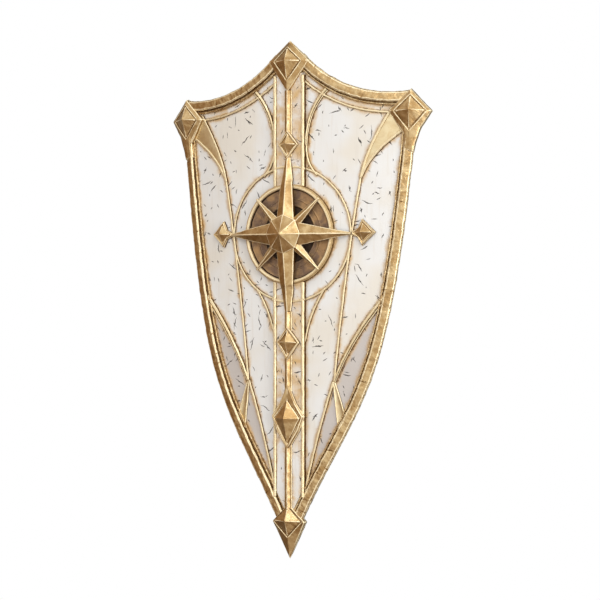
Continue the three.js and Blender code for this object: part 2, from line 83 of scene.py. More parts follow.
LATH_HALF = 27.7
LATH_TOP = 8.0
UNDER_RIM = 94.0  # the lath ends this far from the medallion's centre, under its rim
LATH_HEAD, LATH_FOOT = 322.0, -530.0  # its hidden ends, under the caps
EDGING_MIDDLE = 31.0
EDGING_RUNS = {"upper": (92, 306), "lower": (-506, -92)}
SPINE_BASE = 8.1
SPINE_RUNS = {"upper": (148, 277), "lower": (-530, -149)}

MEDALLION_RADIUS = 97.5
STAR_BASE = 13.2
BAND_Z = 8.2  # the underside of the star's long rays on the lath
BOSS_RADIUS = 38.0
HALO_RADIUS = 130.0

# The right grille's curves, as control points
HORN_OUTER = ((213, 237), (162, 163), (150, 105))
HORN_INNER = ((240, 198), (171, 157), (151, 107))
LONG_LINE = ((150, 105), (117.3, -71), (95.5, -283))
UPPER_BRACE = ((205, -114), (131, -196.7), (96, -283))
LOWER_BRACE = ((94, -283), (60, -378.5), (32, -500))
LOWER_FLARE = ((76, -104), (42.8, -150.5), (33, -206))

STRAP_X = {"arm_strap": 95.0, "hand_strap": -95.0}
STRAP_WIDTH = {"arm_strap": 46.0, "hand_strap": 30.0}
STRAP_Y = 20.0
STRAP_HALF_LENGTH = 78.0
STRAP_ARCH = 20.0
STRAP_THICKNESS = 3.5
RIVET_INSET = 14.0  # from the strap's end
STRAP_FLAT_END = 28.0  # how much of each end lies flat on the board

ALONG = np.array([0.0, -1.0, 0.0])  # the turning axis of a section drawn sideways and up
UPWARD = np.array([0.0, 0.0, 1.0])
FOOT_SHADE = -2.0  # painted shade along a piece's foot, where it meets what it lies on


# ---- Colour ----
def linear(hex_colour):
    """An sRGB hex colour as linear RGB and alpha: below 0.04045 a share is divided by 12.92, and above it
    0.055 is added, the sum is divided by 1.055 and raised to 2.4."""
    shares = [int(hex_colour[i : i + 2], 16) / 255 for i in (0, 2, 4)]
    return tuple(c / 12.92 if c <= 0.04045 else ((c + 0.055) / 1.055) ** 2.4 for c in shares) + (1.0,)


# ---- Settings that a user would change ----
def colour_setting(name, description, hex_colour):
    return bpy.props.FloatVectorProperty(
        name=name, description=description, subtype="COLOR", size=4, min=0, max=1, default=linear(hex_colour)
    )


def length_setting(name, description, metres):
    return bpy.props.FloatProperty(name=name, description=description, default=metres, min=0, unit="LENGTH")


class ShieldForm(bpy.types.PropertyGroup):
    edge_rounding: length_setting("Edge rounding", "How far a worn edge is rounded from its corner", 0.0011)
    # The band over which an edge's tone fades: rubbing and a painted highlight on a ridge, dirt and painted
    # shade in a hollow
    edge_wear: length_setting("Edge wear", "Width of the rubbed band on each side of a rounded edge", 0.0014)
    dents: length_setting("Dents", "Height of the unevenness left by hammer and file", 0.0004)
    dent_size: length_setting("Dent size", "Distance from one dent to the next", 0.009)
    nick_depth: length_setting("Nick depth", "Depth of the cuts across the edge bars", 0.0009)
    board_step: length_setting("Board step", "Distance between the points of the board's surface", 0.004)


class ShieldFinish(bpy.types.PropertyGroup):
    gilt: colour_setting("Gilt", "Antique gilding on the castings and bars", "D3B888")
    gilt_brown: colour_setting("Gilt, browned", "Where the gilding has browned", "9A7038")
    # Also the colour of the painted highlight along ridges
    gilt_worn: colour_setting("Gilt, rubbed", "Where edges are rubbed bright", "FBEBC4")
    # Also the colour of the painted shade in hollows and along each piece's foot
    gilt_hollow: colour_setting("Gilt, hollows", "Dirt and patina in the hollows", "6A481E")
    pale_gilt: colour_setting("Pale gilt", "Thin strips and edging", "E8D8B0")
    bronze: colour_setting("Dark bronze", "The medallion's dished floor", "B89468")
    lacquer: colour_setting("Lacquer", "White lacquer of the face", "E8E9E8")
    lacquer_warm: colour_setting("Lacquer, yellowed", "Where the lacquer has yellowed", "E4DED1")
    lacquer_grey: colour_setting("Lacquer, side panels", "The greyer lower side panels", "C6C0BB")
    stain: colour_setting("Stain", "Brown that has bled from the gilding", "D2AE74")
    chip: colour_setting("Chips", "Dark ground that shows in chips and cracks", "241E1A")
    leather: colour_setting("Leather", "The straps on the back", "5C3A22")
    wood: colour_setting("Wood", "The bare back of the board", "8A6238")


def form():
    """The settings of the shield's shape."""
    return bpy.context.scene.shield_form


def finish_colour(name):
    """A colour setting as a plain value."""
    return tuple(getattr(bpy.context.scene.shield_finish, name))


# ---- From the unrolled shield to the frame ----
def rolled(flat):
    """Bends flat points round the board. Within the flat middle they stay where they are. Beyond it, the
    distance from the middle becomes an arc of the bend radius, and height is measured along that radius."""
    x, y, z = np.moveaxis(np.asarray(flat, float)[..., :3], -1, 0)
    angle = np.clip(np.abs(x) - FLAT_HALF, 0, None) / BEND_RADIUS
    across = np.minimum(np.abs(x), FLAT_HALF) + (BEND_RADIUS + z) * np.sin(angle)
    return np.stack([np.sign(x) * across, y, (BEND_RADIUS + z) * np.cos(angle) - BEND_RADIUS], -1)


def unit(vectors):
    """Each vector over its length, and the lengths."""
    length = np.linalg.norm(vectors, axis=-1, keepdims=True)
    return vectors / np.where(length < 1e-9, 1, length), length


def inset(outline, distance):
    """An anticlockwise outline moved inwards by a distance, with its corners mitred."""
    outline = np.array(outline, float)
    before = unit(outline - np.roll(outline, 1, 0))[0]
    after = unit(np.roll(outline, -1, 0) - outline)[0]
    normal = unit(np.column_stack([-(before + after)[:, 1], (before + after)[:, 0]]))[0]
    side = np.column_stack([-before[:, 1], before[:, 0]])
    return outline + normal * (distance / (normal * side).sum(-1))[:, None]


def resting_tilt():
    """The top and bottom caps' backs are in one plane. The height between their lowest points, over the
    distance between them, is the sine of the tilt at which the shield rests on its corners and its bottom
    point."""
    top, bottom = (inset(cap, WALL_LEAN)[2, 1] for cap in (TOP_CAP, BOTTOM_CAP))
    return math.asin(1000 * (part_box("cap_top")[0].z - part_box("cap_bottom")[0].z) / (top - bottom))


TILT = resting_tilt()


def tipped(points):
    """Turns points about X by the resting tilt: y and z are turned as a plane rotation."""
    x, y, z = np.moveaxis(points, -1, 0)
    cos, sin = math.cos(TILT), math.sin(TILT)
    return np.stack([x, y * cos - z * sin, y * sin + z * cos], -1)


def frame_offset():
    """Where the medallion's centre lies in the frame, in millimetres. The top cap's box ends at its tip, and
    the bottom cap's box begins under its back."""
    top = 1000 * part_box("cap_top")[1].y - tipped(np.array([0, TOP_CAP[0][1], WALL_TOP_Z]))[1]
    back = np.array([0, inset(BOTTOM_CAP, WALL_LEAN)[2, 1], BACK_Z])
    floor = 1000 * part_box("cap_bottom")[0].z - tipped(back)[2]
    return np.array([0.0, top, floor])


OFFSET = frame_offset()


def place(flat):
    """Flat millimetres to the frame's metres: rolled, tipped, then moved."""
    return (tipped(rolled(flat)) + OFFSET) / 1000


# ---- Surfaces. Each array's last axis is x, y, z and tone ----
# Tone is +1 on a ridge, rubbed and with a painted highlight, and -1 in a hollow, with dirt and painted shade
def points_of(*corners, z=0.0):
    """Corners given as (x, y) become rows of x, y, z, tone."""
    flat = np.array(corners, float)
    return np.column_stack([flat, np.full(len(flat), z), np.zeros(len(flat))])


def section(*corners):
    """A section's (sideways, height) corners, anticlockwise, become rows of sideways, 0, height, tone. Its
    lowest corners have the foot's tone."""
    flat = np.array(corners, float)
    foot = np.where(flat[:, 1] < flat[:, 1].min() + 0.1, FOOT_SHADE, 0.0)
    return np.column_stack([flat[:, 0], np.zeros(len(flat)), flat[:, 1], foot])


def symmetric(*half):
    """A section's corners from those of its right half, which are given from the foot up."""
    left = [(-x, z) for x, z in half if x]
    return section(left[0], *half, *left[:0:-1])


def softened(grid, axis, closed, rounding=None, wear=None, steps=5, tone=None):
    """Rounds every corner along the first axis with a parabola, and tones it.

    The parabola leaves and meets the two sides at the rounding distance from the corner, or at two fifths of
    a shorter side: (1-t)^2 a + 2t(1-t) corner + t^2 b. Its tone, if none is given, is the turn about `axis`
    over 45 degrees. It is highest in the middle, and fades to nothing over the wear distance beyond it."""
    rounding = 1000 * form().edge_rounding if rounding is None else rounding
    wear = 1000 * form().edge_wear if wear is None else wear
    before, before_length = unit((np.roll(grid, 1, 0) - grid)[..., :3])
    after, after_length = unit((np.roll(grid, -1, 0) - grid)[..., :3])
    if tone is None:
        turn = np.arctan2((np.cross(-before, after) * axis).sum(-1), (-before * after).sum(-1))
        tone = np.clip(turn / math.radians(45), -1, 1)[..., None]
    ends = []
    for way, length, neighbour in ((before, before_length, 1), (after, after_length, -1)):
        reach = np.minimum(rounding, 0.4 * length)
        faded = np.minimum(rounding + wear, 0.48 * length)
        share = faded / np.where(length < 1e-9, 1, length)
        plain = grid[..., 3:] * (1 - share) + np.roll(grid, neighbour, 0)[..., 3:] * share
        ends.append((grid[..., :3] + way * reach, np.concatenate([grid[..., :3] + way * faded, plain], -1)))
    (near, first), (far, last) = ends
    rows = [first]
    for t in np.linspace(0, 1, steps):
        at = (1 - t) ** 2 * near + 2 * t * (1 - t) * grid[..., :3] + t**2 * far
        strongest = grid[..., 3:] + tone * (0.6 + 0.4 * math.sin(math.pi * t))
        rows.append(np.concatenate([at, np.clip(strongest, -1, 1)], -1))
    rows.append(last)
    rounded = np.stack(rows, 1)
    if closed:
        return rounded.reshape(-1, *grid.shape[1:])
    return np.concatenate([grid[:1], rounded[1:-1].reshape(-1, *grid.shape[1:]), grid[-1:]])


def divided(grid, longest, closed=False):
    """Splits each step along the first axis into equal parts no longer than `longest`."""
    ahead = np.roll(grid, -1, 0) if closed else grid[1:]
    here = grid if closed else grid[:-1]
    length = np.linalg.norm((ahead - here)[..., :3], axis=-1).reshape(len(here), -1).max(1)
    parts = np.maximum(np.ceil(length / longest), 1).astype(int)
    index = np.repeat(np.arange(len(here)), parts)
    share = (np.arange(parts.sum()) - np.repeat(np.cumsum(parts) - parts, parts)) / np.repeat(parts, parts)
    share = share.reshape(-1, *[1] * (grid.ndim - 1))
    made = here[index] * (1 - share) + ahead[index] * share
    return made if closed else np.concatenate([made, grid[-1:]])


def across(function, grid, *args, **kwargs):
    """Applies a function of the first axis to the second one."""
    return function(grid.swapaxes(0, 1), *args, **kwargs).swapaxes(0, 1)


class Patch:
    """Part of a piece: points with their tone, and lists of faces with the same number of corners."""

    def __init__(self, points, faces):
        self.points = points
        self.faces = faces

    def mirrored(self):
        """The same patch with x turned round, and its faces turned to point outwards again."""
        return Patch(self.points * [-1, 1, 1, 1], [f[:, ::-1] for f in self.faces])


def joined(*patches):
    """Patches as one, with each one's faces counted on from the points before it."""
    faces, start = [], 0
    for patch in patches:
        faces += [f + start for f in patch.faces]
        start += len(patch.points)
    return Patch(np.concatenate([p.points for p in patches]), faces)


def quads(rows, columns, wrap=True):
    """Faces between neighbouring rows and columns. With wrap, the last column meets the first."""
    row = np.arange(rows - 1)[:, None] * columns
    column = np.arange(columns if wrap else columns - 1)[None, :]
    here, after = row + column, row + (column + 1) % columns
    return np.stack([here, after, after + columns, here + columns], -1).reshape(-1, 4)


def plate(face, underside):
    """A closed plate: a face given as rows of points, the same points at the underside's height, and a
    skirt."""
    rows, columns = face.shape[:2]
    cells, count = quads(rows, columns, wrap=False), rows * columns
    grid = np.arange(count).reshape(rows, columns)
    rim = np.concatenate([grid[0, :-1], grid[:-1, -1], grid[-1, :0:-1], grid[:0:-1, 0]])
    after = np.roll(rim, -1)
    under = face.reshape(-1, 4) * [1, 1, 0, 0] + [0, 0, underside, 0]
    skirt = np.stack([rim, rim + count, after + count, after], -1)
    return Patch(np.concatenate([face.reshape(-1, 4), under]), [cells, (cells + count)[:, ::-1], skirt])


def shell(grid, start="fill", end="fill"):
    """A closed skin over rows of rings. Each end is filled by one face, or drawn in to a point."""
    columns = grid.shape[1]
    ring = np.arange(columns)
    body = grid[(start == "point") : len(grid) - (end == "point")]
    points = body.reshape(-1, 4)
    faces = [quads(len(body), columns)]
    last = (len(body) - 1) * columns
    if start == "fill":
        faces.append(ring[None, ::-1])
    else:
        faces.append(np.stack([np.roll(ring, -1), ring, np.full(columns, len(points))], -1))
        points = np.concatenate([points, grid[0].mean(0)[None]])
    if end == "fill":
        faces.append(last + ring[None])
    else:
        faces.append(np.stack([last + ring, last + np.roll(ring, -1), np.full(columns, len(points))], -1))
        points = np.concatenate([points, grid[-1].mean(0)[None]])
    return Patch(points, faces)


def path_frame(path):
    """The left-hand direction at each point of a plane path, stretched at bends so that a strip keeps its
    width: the mean of the two sides' directions, turned a quarter left, over the cosine of half the bend."""
    ahead = unit(np.diff(path[:, :2], axis=0))[0]
    before, after = np.vstack([ahead[:1], ahead]), np.vstack([ahead, ahead[-1:]])
    along = unit(before + after)[0]
    stretch = 1 / np.clip((along * after).sum(-1), 0.5, None)
    return np.column_stack([-along[:, 1], along[:, 0]]) * stretch[:, None]


def carried(path, profile, width=1.0):
    """A section carried along a path. At each point the section stands square to the path, with sideways to
    the left. width is its share there, or one share for the whole path."""
    reach = profile[None, :, 0] * (np.ones(len(path)) * width)[:, None]
    grid = np.empty((len(path), len(profile), 4))
    grid[..., :2] = path[:, None, :2] + path_frame(path)[:, None, :] * reach[..., None]
    grid[..., 2] = profile[None, :, 2] + path[:, None, 2]
    grid[..., 3] = profile[None, :, 3]
    return shell(grid)


def ring_axis(grid):
    """The turning axis of a ring's rows: against the ring's own direction, so that outward corners turn
    up."""
    return -unit((np.roll(grid, -1, 1) - np.roll(grid, 1, 1))[..., :3])[0]


def ridge_tones(grid):
    """How sharp the ridge is that runs up from each corner of a row of rings: the angle between the faces on
    its two sides over 40 degrees, above nothing where they fall away from it and below where they close on
    it. The top ring takes the tones of the one below."""
    up = np.diff(grid, axis=0)
    before, after = (np.roll(grid, way, 1)[:-1] - grid[:-1] for way in (1, -1))
    first, second = unit(np.cross(up, before))[0], unit(np.cross(after, up))[0]
    turn = np.arctan2((np.cross(first, second) * unit(up)[0]).sum(-1), (first * second).sum(-1))
    return np.clip(np.concatenate([turn, turn[-1:]]) / math.radians(40), -1, 1)


def terrace(levels, spacing=3.0, end="point", rounding=None, wear=None, least=-1.0):
    """A stepped or faceted form. Each level is (outline, height, crease), with a tone of its own after them
    or not: outlines have the same number of corners and run anticlockwise, height is one value or one for
    each corner, and crease is the share of the ridges' tones there, which are at least `least`. The outlines'
    corners are rounded first, and then the steps between levels."""
    rows = []
    for outline, z, _, *tone in levels:
        ring = np.array(outline, float)
        rows.append(np.column_stack([ring, np.ones(len(ring)) * z, np.full(len(ring), sum(tone))]))
    crease = np.array([level[2] for level in levels])
    grid = np.stack(rows)
    tones = np.maximum(ridge_tones(grid[..., :3]) * crease[:, None], least).T[..., None]
    # The lowest ring takes the foot's tone: painted shade where the piece meets what it lies on
    grid[0, :, 3] = FOOT_SHADE
    grid = across(softened, grid, UPWARD, True, rounding=rounding, wear=wear, tone=tones)
    grid = across(divided, grid, spacing, closed=True)
    grid = softened(grid, ring_axis(grid), False, rounding=rounding, wear=wear)
    return shell(divided(grid, spacing), "fill", end)


def revolved(profile, centre=(0.0, 0.0), sides=144, rounding=None):
    """A profile of (radius, height), from the axis below to the axis above, turned once about its centre."""
    angle = np.linspace(0, 2 * math.pi, sides, endpoint=False)
    radius, z = np.array(profile, float).T
    grid = np.zeros((len(profile), sides, 4))
    grid[..., 0] = centre[0] + radius[:, None] * np.cos(angle)
    grid[..., 1] = centre[1] + radius[:, None] * np.sin(angle)
    grid[..., 2] = z[:, None]
    axis = -np.stack([-np.sin(angle), np.cos(angle), np.zeros(sides)], -1)
    return shell(softened(grid, axis, False, rounding=rounding), "point", "point")


TABLE_SIZE = 4096
HASH_PRIMES = (73856093, 19349663, 83492791)  # they scatter the lattice's corners over the table


def lattice_noise(points, size, seed):
    """Smooth noise from -1 to 1: a random value at each corner of a cubic lattice of the given size, blended
    inside each cube by 3t^2 - 2t^3 along each axis."""
    table = np.random.default_rng(seed).uniform(-1, 1, TABLE_SIZE)
    cell = np.floor(points / size)
    share = points / size - cell
    share = share * share * (3 - 2 * share)
    cell = cell.astype(np.int64)
    total = np.zeros(points.shape[:-1])
    for corner in np.ndindex(2, 2, 2):
        at = cell + corner
        key = np.bitwise_xor.reduce(at * HASH_PRIMES, -1)
        total += np.prod(np.where(corner, share, 1 - share), -1) * table[key % TABLE_SIZE]
    return total


def dented(patch, amount=1.0, seed=1):
    """Moves the points of a patch by the dents' height, with noise of its own on each axis at two sizes."""
    height, size = 1000 * form().dents * amount, 1000 * form().dent_size
    base = patch.points[:, :3].copy()
    for axis in range(3):
        noise = lattice_noise(base, size, seed + axis) + 0.5 * lattice_noise(base, size / 3, seed + axis + 7)
        patch.points[:, axis] += height * noise
    return patch


def polar(centre, radius, start, end, count):
    """Points of a circle from one angle to another, in degrees."""
    angle = np.radians(np.linspace(start, end, count))
    ring = np.zeros((count, 4))
    ring[:, 0] = centre[0] + radius * np.cos(angle)
    ring[:, 1] = centre[1] + radius * np.sin(angle)
    return ring


def bezier(controls, count):
    """A Bezier curve of any degree. Each pass blends neighbouring controls by t, until only one is left."""
    t = np.linspace(0, 1, count)[:, None, None]
    rows = np.array(controls, float)[None].repeat(count, 0)
    while rows.shape[1] > 1:
        rows = rows[:, :-1] * (1 - t) + rows[:, 1:] * t
    path = np.zeros((count, 4))
    path[:, :2] = rows[:, 0]
    return path


def toward(outline, centre, share):
    """An outline drawn in towards a centre by a share of the way."""
    outline = np.array(outline, float)
    return outline + (np.array(centre) - outline) * share


# ---- The shield's own outlines ----
def evenly(path, step):
    """A path's points spaced evenly along it, by interpolating over its running length."""
    run = running_length(path)
    stations = np.linspace(0, run[-1], max(int(run[-1] / step), 2))
    return np.column_stack([np.interp(stations, run, column) for column in path.T])


def running_length(path):
    """The length of a plane path up to each of its points."""
    return np.concatenate([[0], np.cumsum(np.linalg.norm(np.diff(path[:, :2], axis=0), axis=1))])


def side_edge(step=2.2):
    """The right side edge from the bottom up, with its straight run of 80 mm under the corner cap."""
    curve = bezier(SIDE_CURVE[::-1], 700)
    last = curve[-1] - curve[-2]
    return divided(np.vstack([evenly(curve, step), curve[-1] + last / np.linalg.norm(last) * 80]), step)


def top_edge(x0, x1, inward=0.0, count=160):
    """The right top edge, an arc, from x0 to x1 on the outline, moved inward along its radius."""
    across_arc = np.linspace(x0, x1, count) - TOP_ARC_CENTRE[0]
    rise = -np.sqrt(TOP_ARC_RADIUS**2 - across_arc**2)
    path = np.zeros((count, 4))
    path[:, 0] = TOP_ARC_CENTRE[0] + across_arc * (1 + inward / TOP_ARC_RADIUS)
    path[:, 1] = TOP_ARC_CENTRE[1] + rise * (1 + inward / TOP_ARC_RADIUS)
    return path


def inner_side(extra=0.0):
    """The inner side of the right side bar, from the bottom up, as (x, y)."""
    path = side_edge()
    return path[:, :2] + path_frame(path) * (BAR_WIDTH + extra)


# ---- Pieces ----
def make_piece(node, patch, make_material, slot, kind="gilt", shares=None):
    """Puts a patch in the frame as one mesh that rides on the root body and stands for its CAD node. shares
    are its further attributes, a value from 0 to 1 for each point."""
    name = f"{node}_{kind}"
    mesh = bpy.data.meshes.new(name)
    faces = [face for group in patch.faces for face in group.tolist()]
    mesh.from_pydata(place(patch.points), [], faces)
    for attribute, values in {"tone": patch.points[:, 3], **(shares or {})}.items():
        mesh.attributes.new(attribute, "FLOAT", "POINT").data.foreach_set("value", values.astype(np.float32))
    mesh.shade_smooth()
    mesh.validate()
    mesh.materials.append(bpy.data.materials.get(make_material.__name__) or make_material())
    piece = bpy.data.objects.new(name, mesh)
    bpy.context.scene.collection.objects.link(piece)
    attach(piece, "root")
    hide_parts(node)


def make_pair(node, patch, make_material, slot):
    """The same piece on the right and, mirrored, on the left. The node's name holds the side's place as
    {}."""
    make_piece(node.format("right"), patch, make_material, slot)
    make_piece(node.format("left"), patch.mirrored(), make_material, slot)


# ---- Materials. Each is made once, and is known by its function's name ----
SHARE, UNDER, OVER, MIXED = 0, 6, 7, 2  # a Mix node's sockets for colours
SMOOTH = {"interpolation_type": "SMOOTHSTEP"}  # makes a Map Range node a smooth step between two values


def add_node(tree, kind, inputs=(), output=0, **settings):
    """Adds a shader node and returns one of its outputs. Its inputs are values, or sockets that it is linked
    to, in their order or by name. settings are its own properties."""
    made = tree.nodes.new("ShaderNode" + kind)
    for name, value in settings.items():
        setattr(made, name, value)
    for key, value in inputs.items() if isinstance(inputs, dict) else enumerate(inputs):
        if isinstance(value, bpy.types.NodeSocket):
            tree.links.new(value, made.inputs[key])
        else:
            made.inputs[key].default_value = value
    return made.outputs[output]


def new_material(name):
    """A material with a Principled shader alone. Returns it, a function that adds nodes to it, and its object
    coordinates."""
    material = bpy.data.materials.new(name)
    material.use_nodes = True
    add = functools.partial(add_node, material.node_tree)
    return material, add, add("TexCoord", output="Object")


def sockets(material):
    """The inputs of a material's shader."""
    return material.node_tree.nodes["Principled BSDF"].inputs


def layered(add, colour, *layers):
    """Lays colours over a first one, one after another, each by its own share."""
    for share, over in layers:
        colour = add("Mix", {SHARE: share, UNDER: colour, OVER: over}, MIXED, data_type="RGBA")
    return colour


def connect(material, add, relief=None, **made):
    """Links sockets to the shader's inputs. relief is the bump's height, strength and depth in
    millimetres."""
    if relief:
        height, strength, depth = relief
        bump = {"Height": height, "Strength": strength, "Distance": depth / 1000}
        made["Normal"] = add("Bump", bump, "Normal")
    for name, socket in made.items():
        material.node_tree.links.new(socket, sockets(material)[name.replace("_", " ")])
    return material


def gilding(name, base, brown, worn, hollow, roughness, metallic=0.92, patchy=0.65):
    """Brass with fire gilding, cast or rolled and then rubbed: warm and fairly matt, browned in patches about
    26 mm across, pale where ridges are rubbed, and dark where dirt has settled in hollows and pits."""
    material, add, coordinates = new_material(name)
    tone = add("Attribute", output="Fac", attribute_name="tone")
    patch_noise = {"Scale": 1000 / 26, "Detail": 4.0, "Roughness": 0.62, "Distortion": 0.6}
    patches = add("TexNoise", {"Vector": coordinates, **patch_noise})
    specks = add("TexNoise", {"Vector": coordinates, "Scale": 1000 / 3.5, "Detail": 3.0, "Roughness": 0.6})
    pits = add("TexVoronoi", {"Vector": coordinates, "Scale": 1000 / 11, "Randomness": 1.0}, "Distance")

    broken = add("Math", (specks, 0.9, -0.45), operation="MULTIPLY_ADD")
    # Pale on ridges: rubbing, and a painted highlight from the ridge's tone
    rubbed = add("MapRange", (add("Math", (tone, broken), operation="ADD"), 0.28, 0.62), **SMOOTH)
    # Dark in hollows and along the foot: dirt, and painted shade from the negative tone
    dirt_and_shade = add("MapRange", (add("Math", (broken, tone), operation="SUBTRACT"), 0.18, 0.75), **SMOOTH)
    near_pit = add("MapRange", (pits, 0.11, 0.05), **SMOOTH)
    pitted = add("Math", (near_pit, add("MapRange", (patches, 0.5, 0.6), **SMOOTH)), operation="MULTIPLY")
    colour = layered(
        add,
        brown,
        (add("MapRange", (patches, 0.36, 0.66, 1.0 - patchy, 1.0), **SMOOTH), base),
        (add("MapRange", (specks, 0.55, 0.75, 0.0, 0.2), **SMOOTH), worn),
        # Rubbed ridges and their painted highlight
        (rubbed, worn),
        # Dirt in pits, and dirt with painted shade in hollows and along the foot
        (add("Math", (dirt_and_shade, pitted), operation="MAXIMUM"), hollow),
    )
    rough = add("Math", (patches, -0.22, roughness + 0.11), operation="MULTIPLY_ADD")
    dusty = add("Math", (dirt_and_shade, 0.3), operation="MULTIPLY")
    rough = add("Math", (rough, dusty), operation="ADD", use_clamp=True)
    sheen = add("MapRange", (rubbed, 0.0, 1.0, metallic, 0.45), **SMOOTH)
    height = add("Math", (add("Math", (specks, 0.35), operation="MULTIPLY"), pitted), operation="SUBTRACT")
    return connect(material, add, (height, 0.5, 0.6), Base_Color=colour, Roughness=rough, Metallic=sheen)


def gilt_castings():
    """Fire-gilt cast brass."""
    colours = [finish_colour(name) for name in ("gilt", "gilt_brown", "gilt_worn", "gilt_hollow")]
    return gilding("gilt_castings", *colours, 0.36)


def gilt_strip():
    """Paler gilt strip, which browns to the castings' colour."""
    colours = [finish_colour(name) for name in ("pale_gilt", "gilt", "gilt_worn", "gilt_hollow")]
    return gilding("gilt_strip", *colours, 0.42)


def ringed_bronze():
    """The medallion is one casting: its rim is gilt, its dished floor is left to go brown, and its well is
    dark."""
    gilt = finish_colour("gilt")
    # The floor's ridges take the gilt's colour, as rubbing and painted highlight, and its hollows 17100A,
    # nearly black, as dirt and painted shade
    colours = finish_colour("bronze"), linear("826A58"), gilt, linear("17100A")
    material = gilding("ringed_bronze", *colours, roughness=0.6, metallic=0.6, patchy=1.0)
    add = functools.partial(add_node, material.node_tree)
    floor_colour = sockets(material)["Base Color"].links[0].from_socket
    names = ("tone", "well", "gilt")
    tone, well, rim = (add("Attribute", output="Fac", attribute_name=name) for name in names)
    coordinates = add("TexCoord", output="Object")
    specks = add("TexNoise", {"Vector": coordinates, "Scale": 1000 / 3.5, "Detail": 3.0, "Roughness": 0.55})
    # The rim: rubbing and a painted highlight on its ridges, dirt and painted shade in its hollows
    rubbed = add("MapRange", (add("Math", (tone, specks), operation="ADD"), 0.75, 1.15), **SMOOTH)
    dirt_and_shade = add("MapRange", (add("Math", (specks, tone), operation="SUBTRACT"), 0.75, 1.3), **SMOOTH)
    worn, hollow = finish_colour("gilt_worn"), finish_colour("gilt_hollow")
    rim_colour = layered(add, gilt, (rubbed, worn), (dirt_and_shade, hollow))
    # The well is painted near black, as shade
    well_shade = add("Math", (well, 0.8), operation="MULTIPLY")
    colour = layered(add, floor_colour, (well_shade, linear("2A2020")), (rim, rim_colour))
    return connect(material, add, Base_Color=colour)


def stroke(add, local, angle, reach, half_width):
    """A thin bar through the origin of the local coordinates at an angle, pointed towards its ends."""
    turned = add("VectorRotate", {"Vector": local, "Angle": angle}, rotation_type="Z_AXIS")
    parts = add("SeparateXYZ", (turned,)).node.outputs
    along, beside = (add("Math", (part,), operation="ABSOLUTE") for part in parts[:2])
    along = add("Math", (along, reach), operation="DIVIDE")
    width = add("MapRange", (along, 0.1, 1.0, half_width / 1000, half_width / 5000), **SMOOTH)
    beside = add("Math", (beside, width), operation="DIVIDE")
    ends = add("MapRange", (along, 1.0, 0.85), **SMOOTH)
    return add("Math", (add("MapRange", (beside, 1.0, 0.45), **SMOOTH), ends), operation="MULTIPLY")


def strokes(add, coordinates, spacing, half_length, half_width, share, waver):
    """Short cracks, one to a cell of about the given spacing in millimetres. Each is a thin bar at a random
    angle about its cell's point. Lengths vary, the shorter ones are forked by a second bar, only a share of
    the cells has one, and noise makes the bars waver."""
    wander = add("TexNoise", {"Vector": coordinates, "Scale": 1000 / 14, "Detail": 2.0}, "Color")
    wander = add("VectorMath", (wander, (0.5, 0.5, 0.5)), operation="SUBTRACT")
    wander = add("VectorMath", {0: wander, "Scale": waver / 1000}, operation="SCALE")
    bent = add("VectorMath", (coordinates, wander), operation="ADD")
    cells = {"Vector": bent, "Scale": 1000 / spacing, "Randomness": 1.0}
    cells = add("TexVoronoi", cells, voronoi_dimensions="2D").node.outputs
    turn, size, presence = add("SeparateColor", (cells["Color"],)).node.outputs
    local = add("VectorMath", (bent, cells["Position"]), operation="SUBTRACT")
    reach = add("MapRange", (size, 0.0, 1.0, half_length / 2500, half_length / 1000), **SMOOTH)
    angle = add("Math", (turn, 2 * math.pi), operation="MULTIPLY")
    first = stroke(add, local, angle, reach, half_width)
    fork_angle = add("Math", (angle, 0.8), operation="ADD")
    fork_reach = add("Math", (reach, 0.55), operation="MULTIPLY")
    fork = stroke(add, local, fork_angle, fork_reach, half_width * 0.8)
    fork = add("Math", (fork, add("Math", (size, 0.4), operation="LESS_THAN")), operation="MULTIPLY")
    both = add("Math", (first, fork), operation="MAXIMUM")
    return add("Math", (both, add("Math", (presence, share), operation="LESS_THAN")), operation="MULTIPLY")


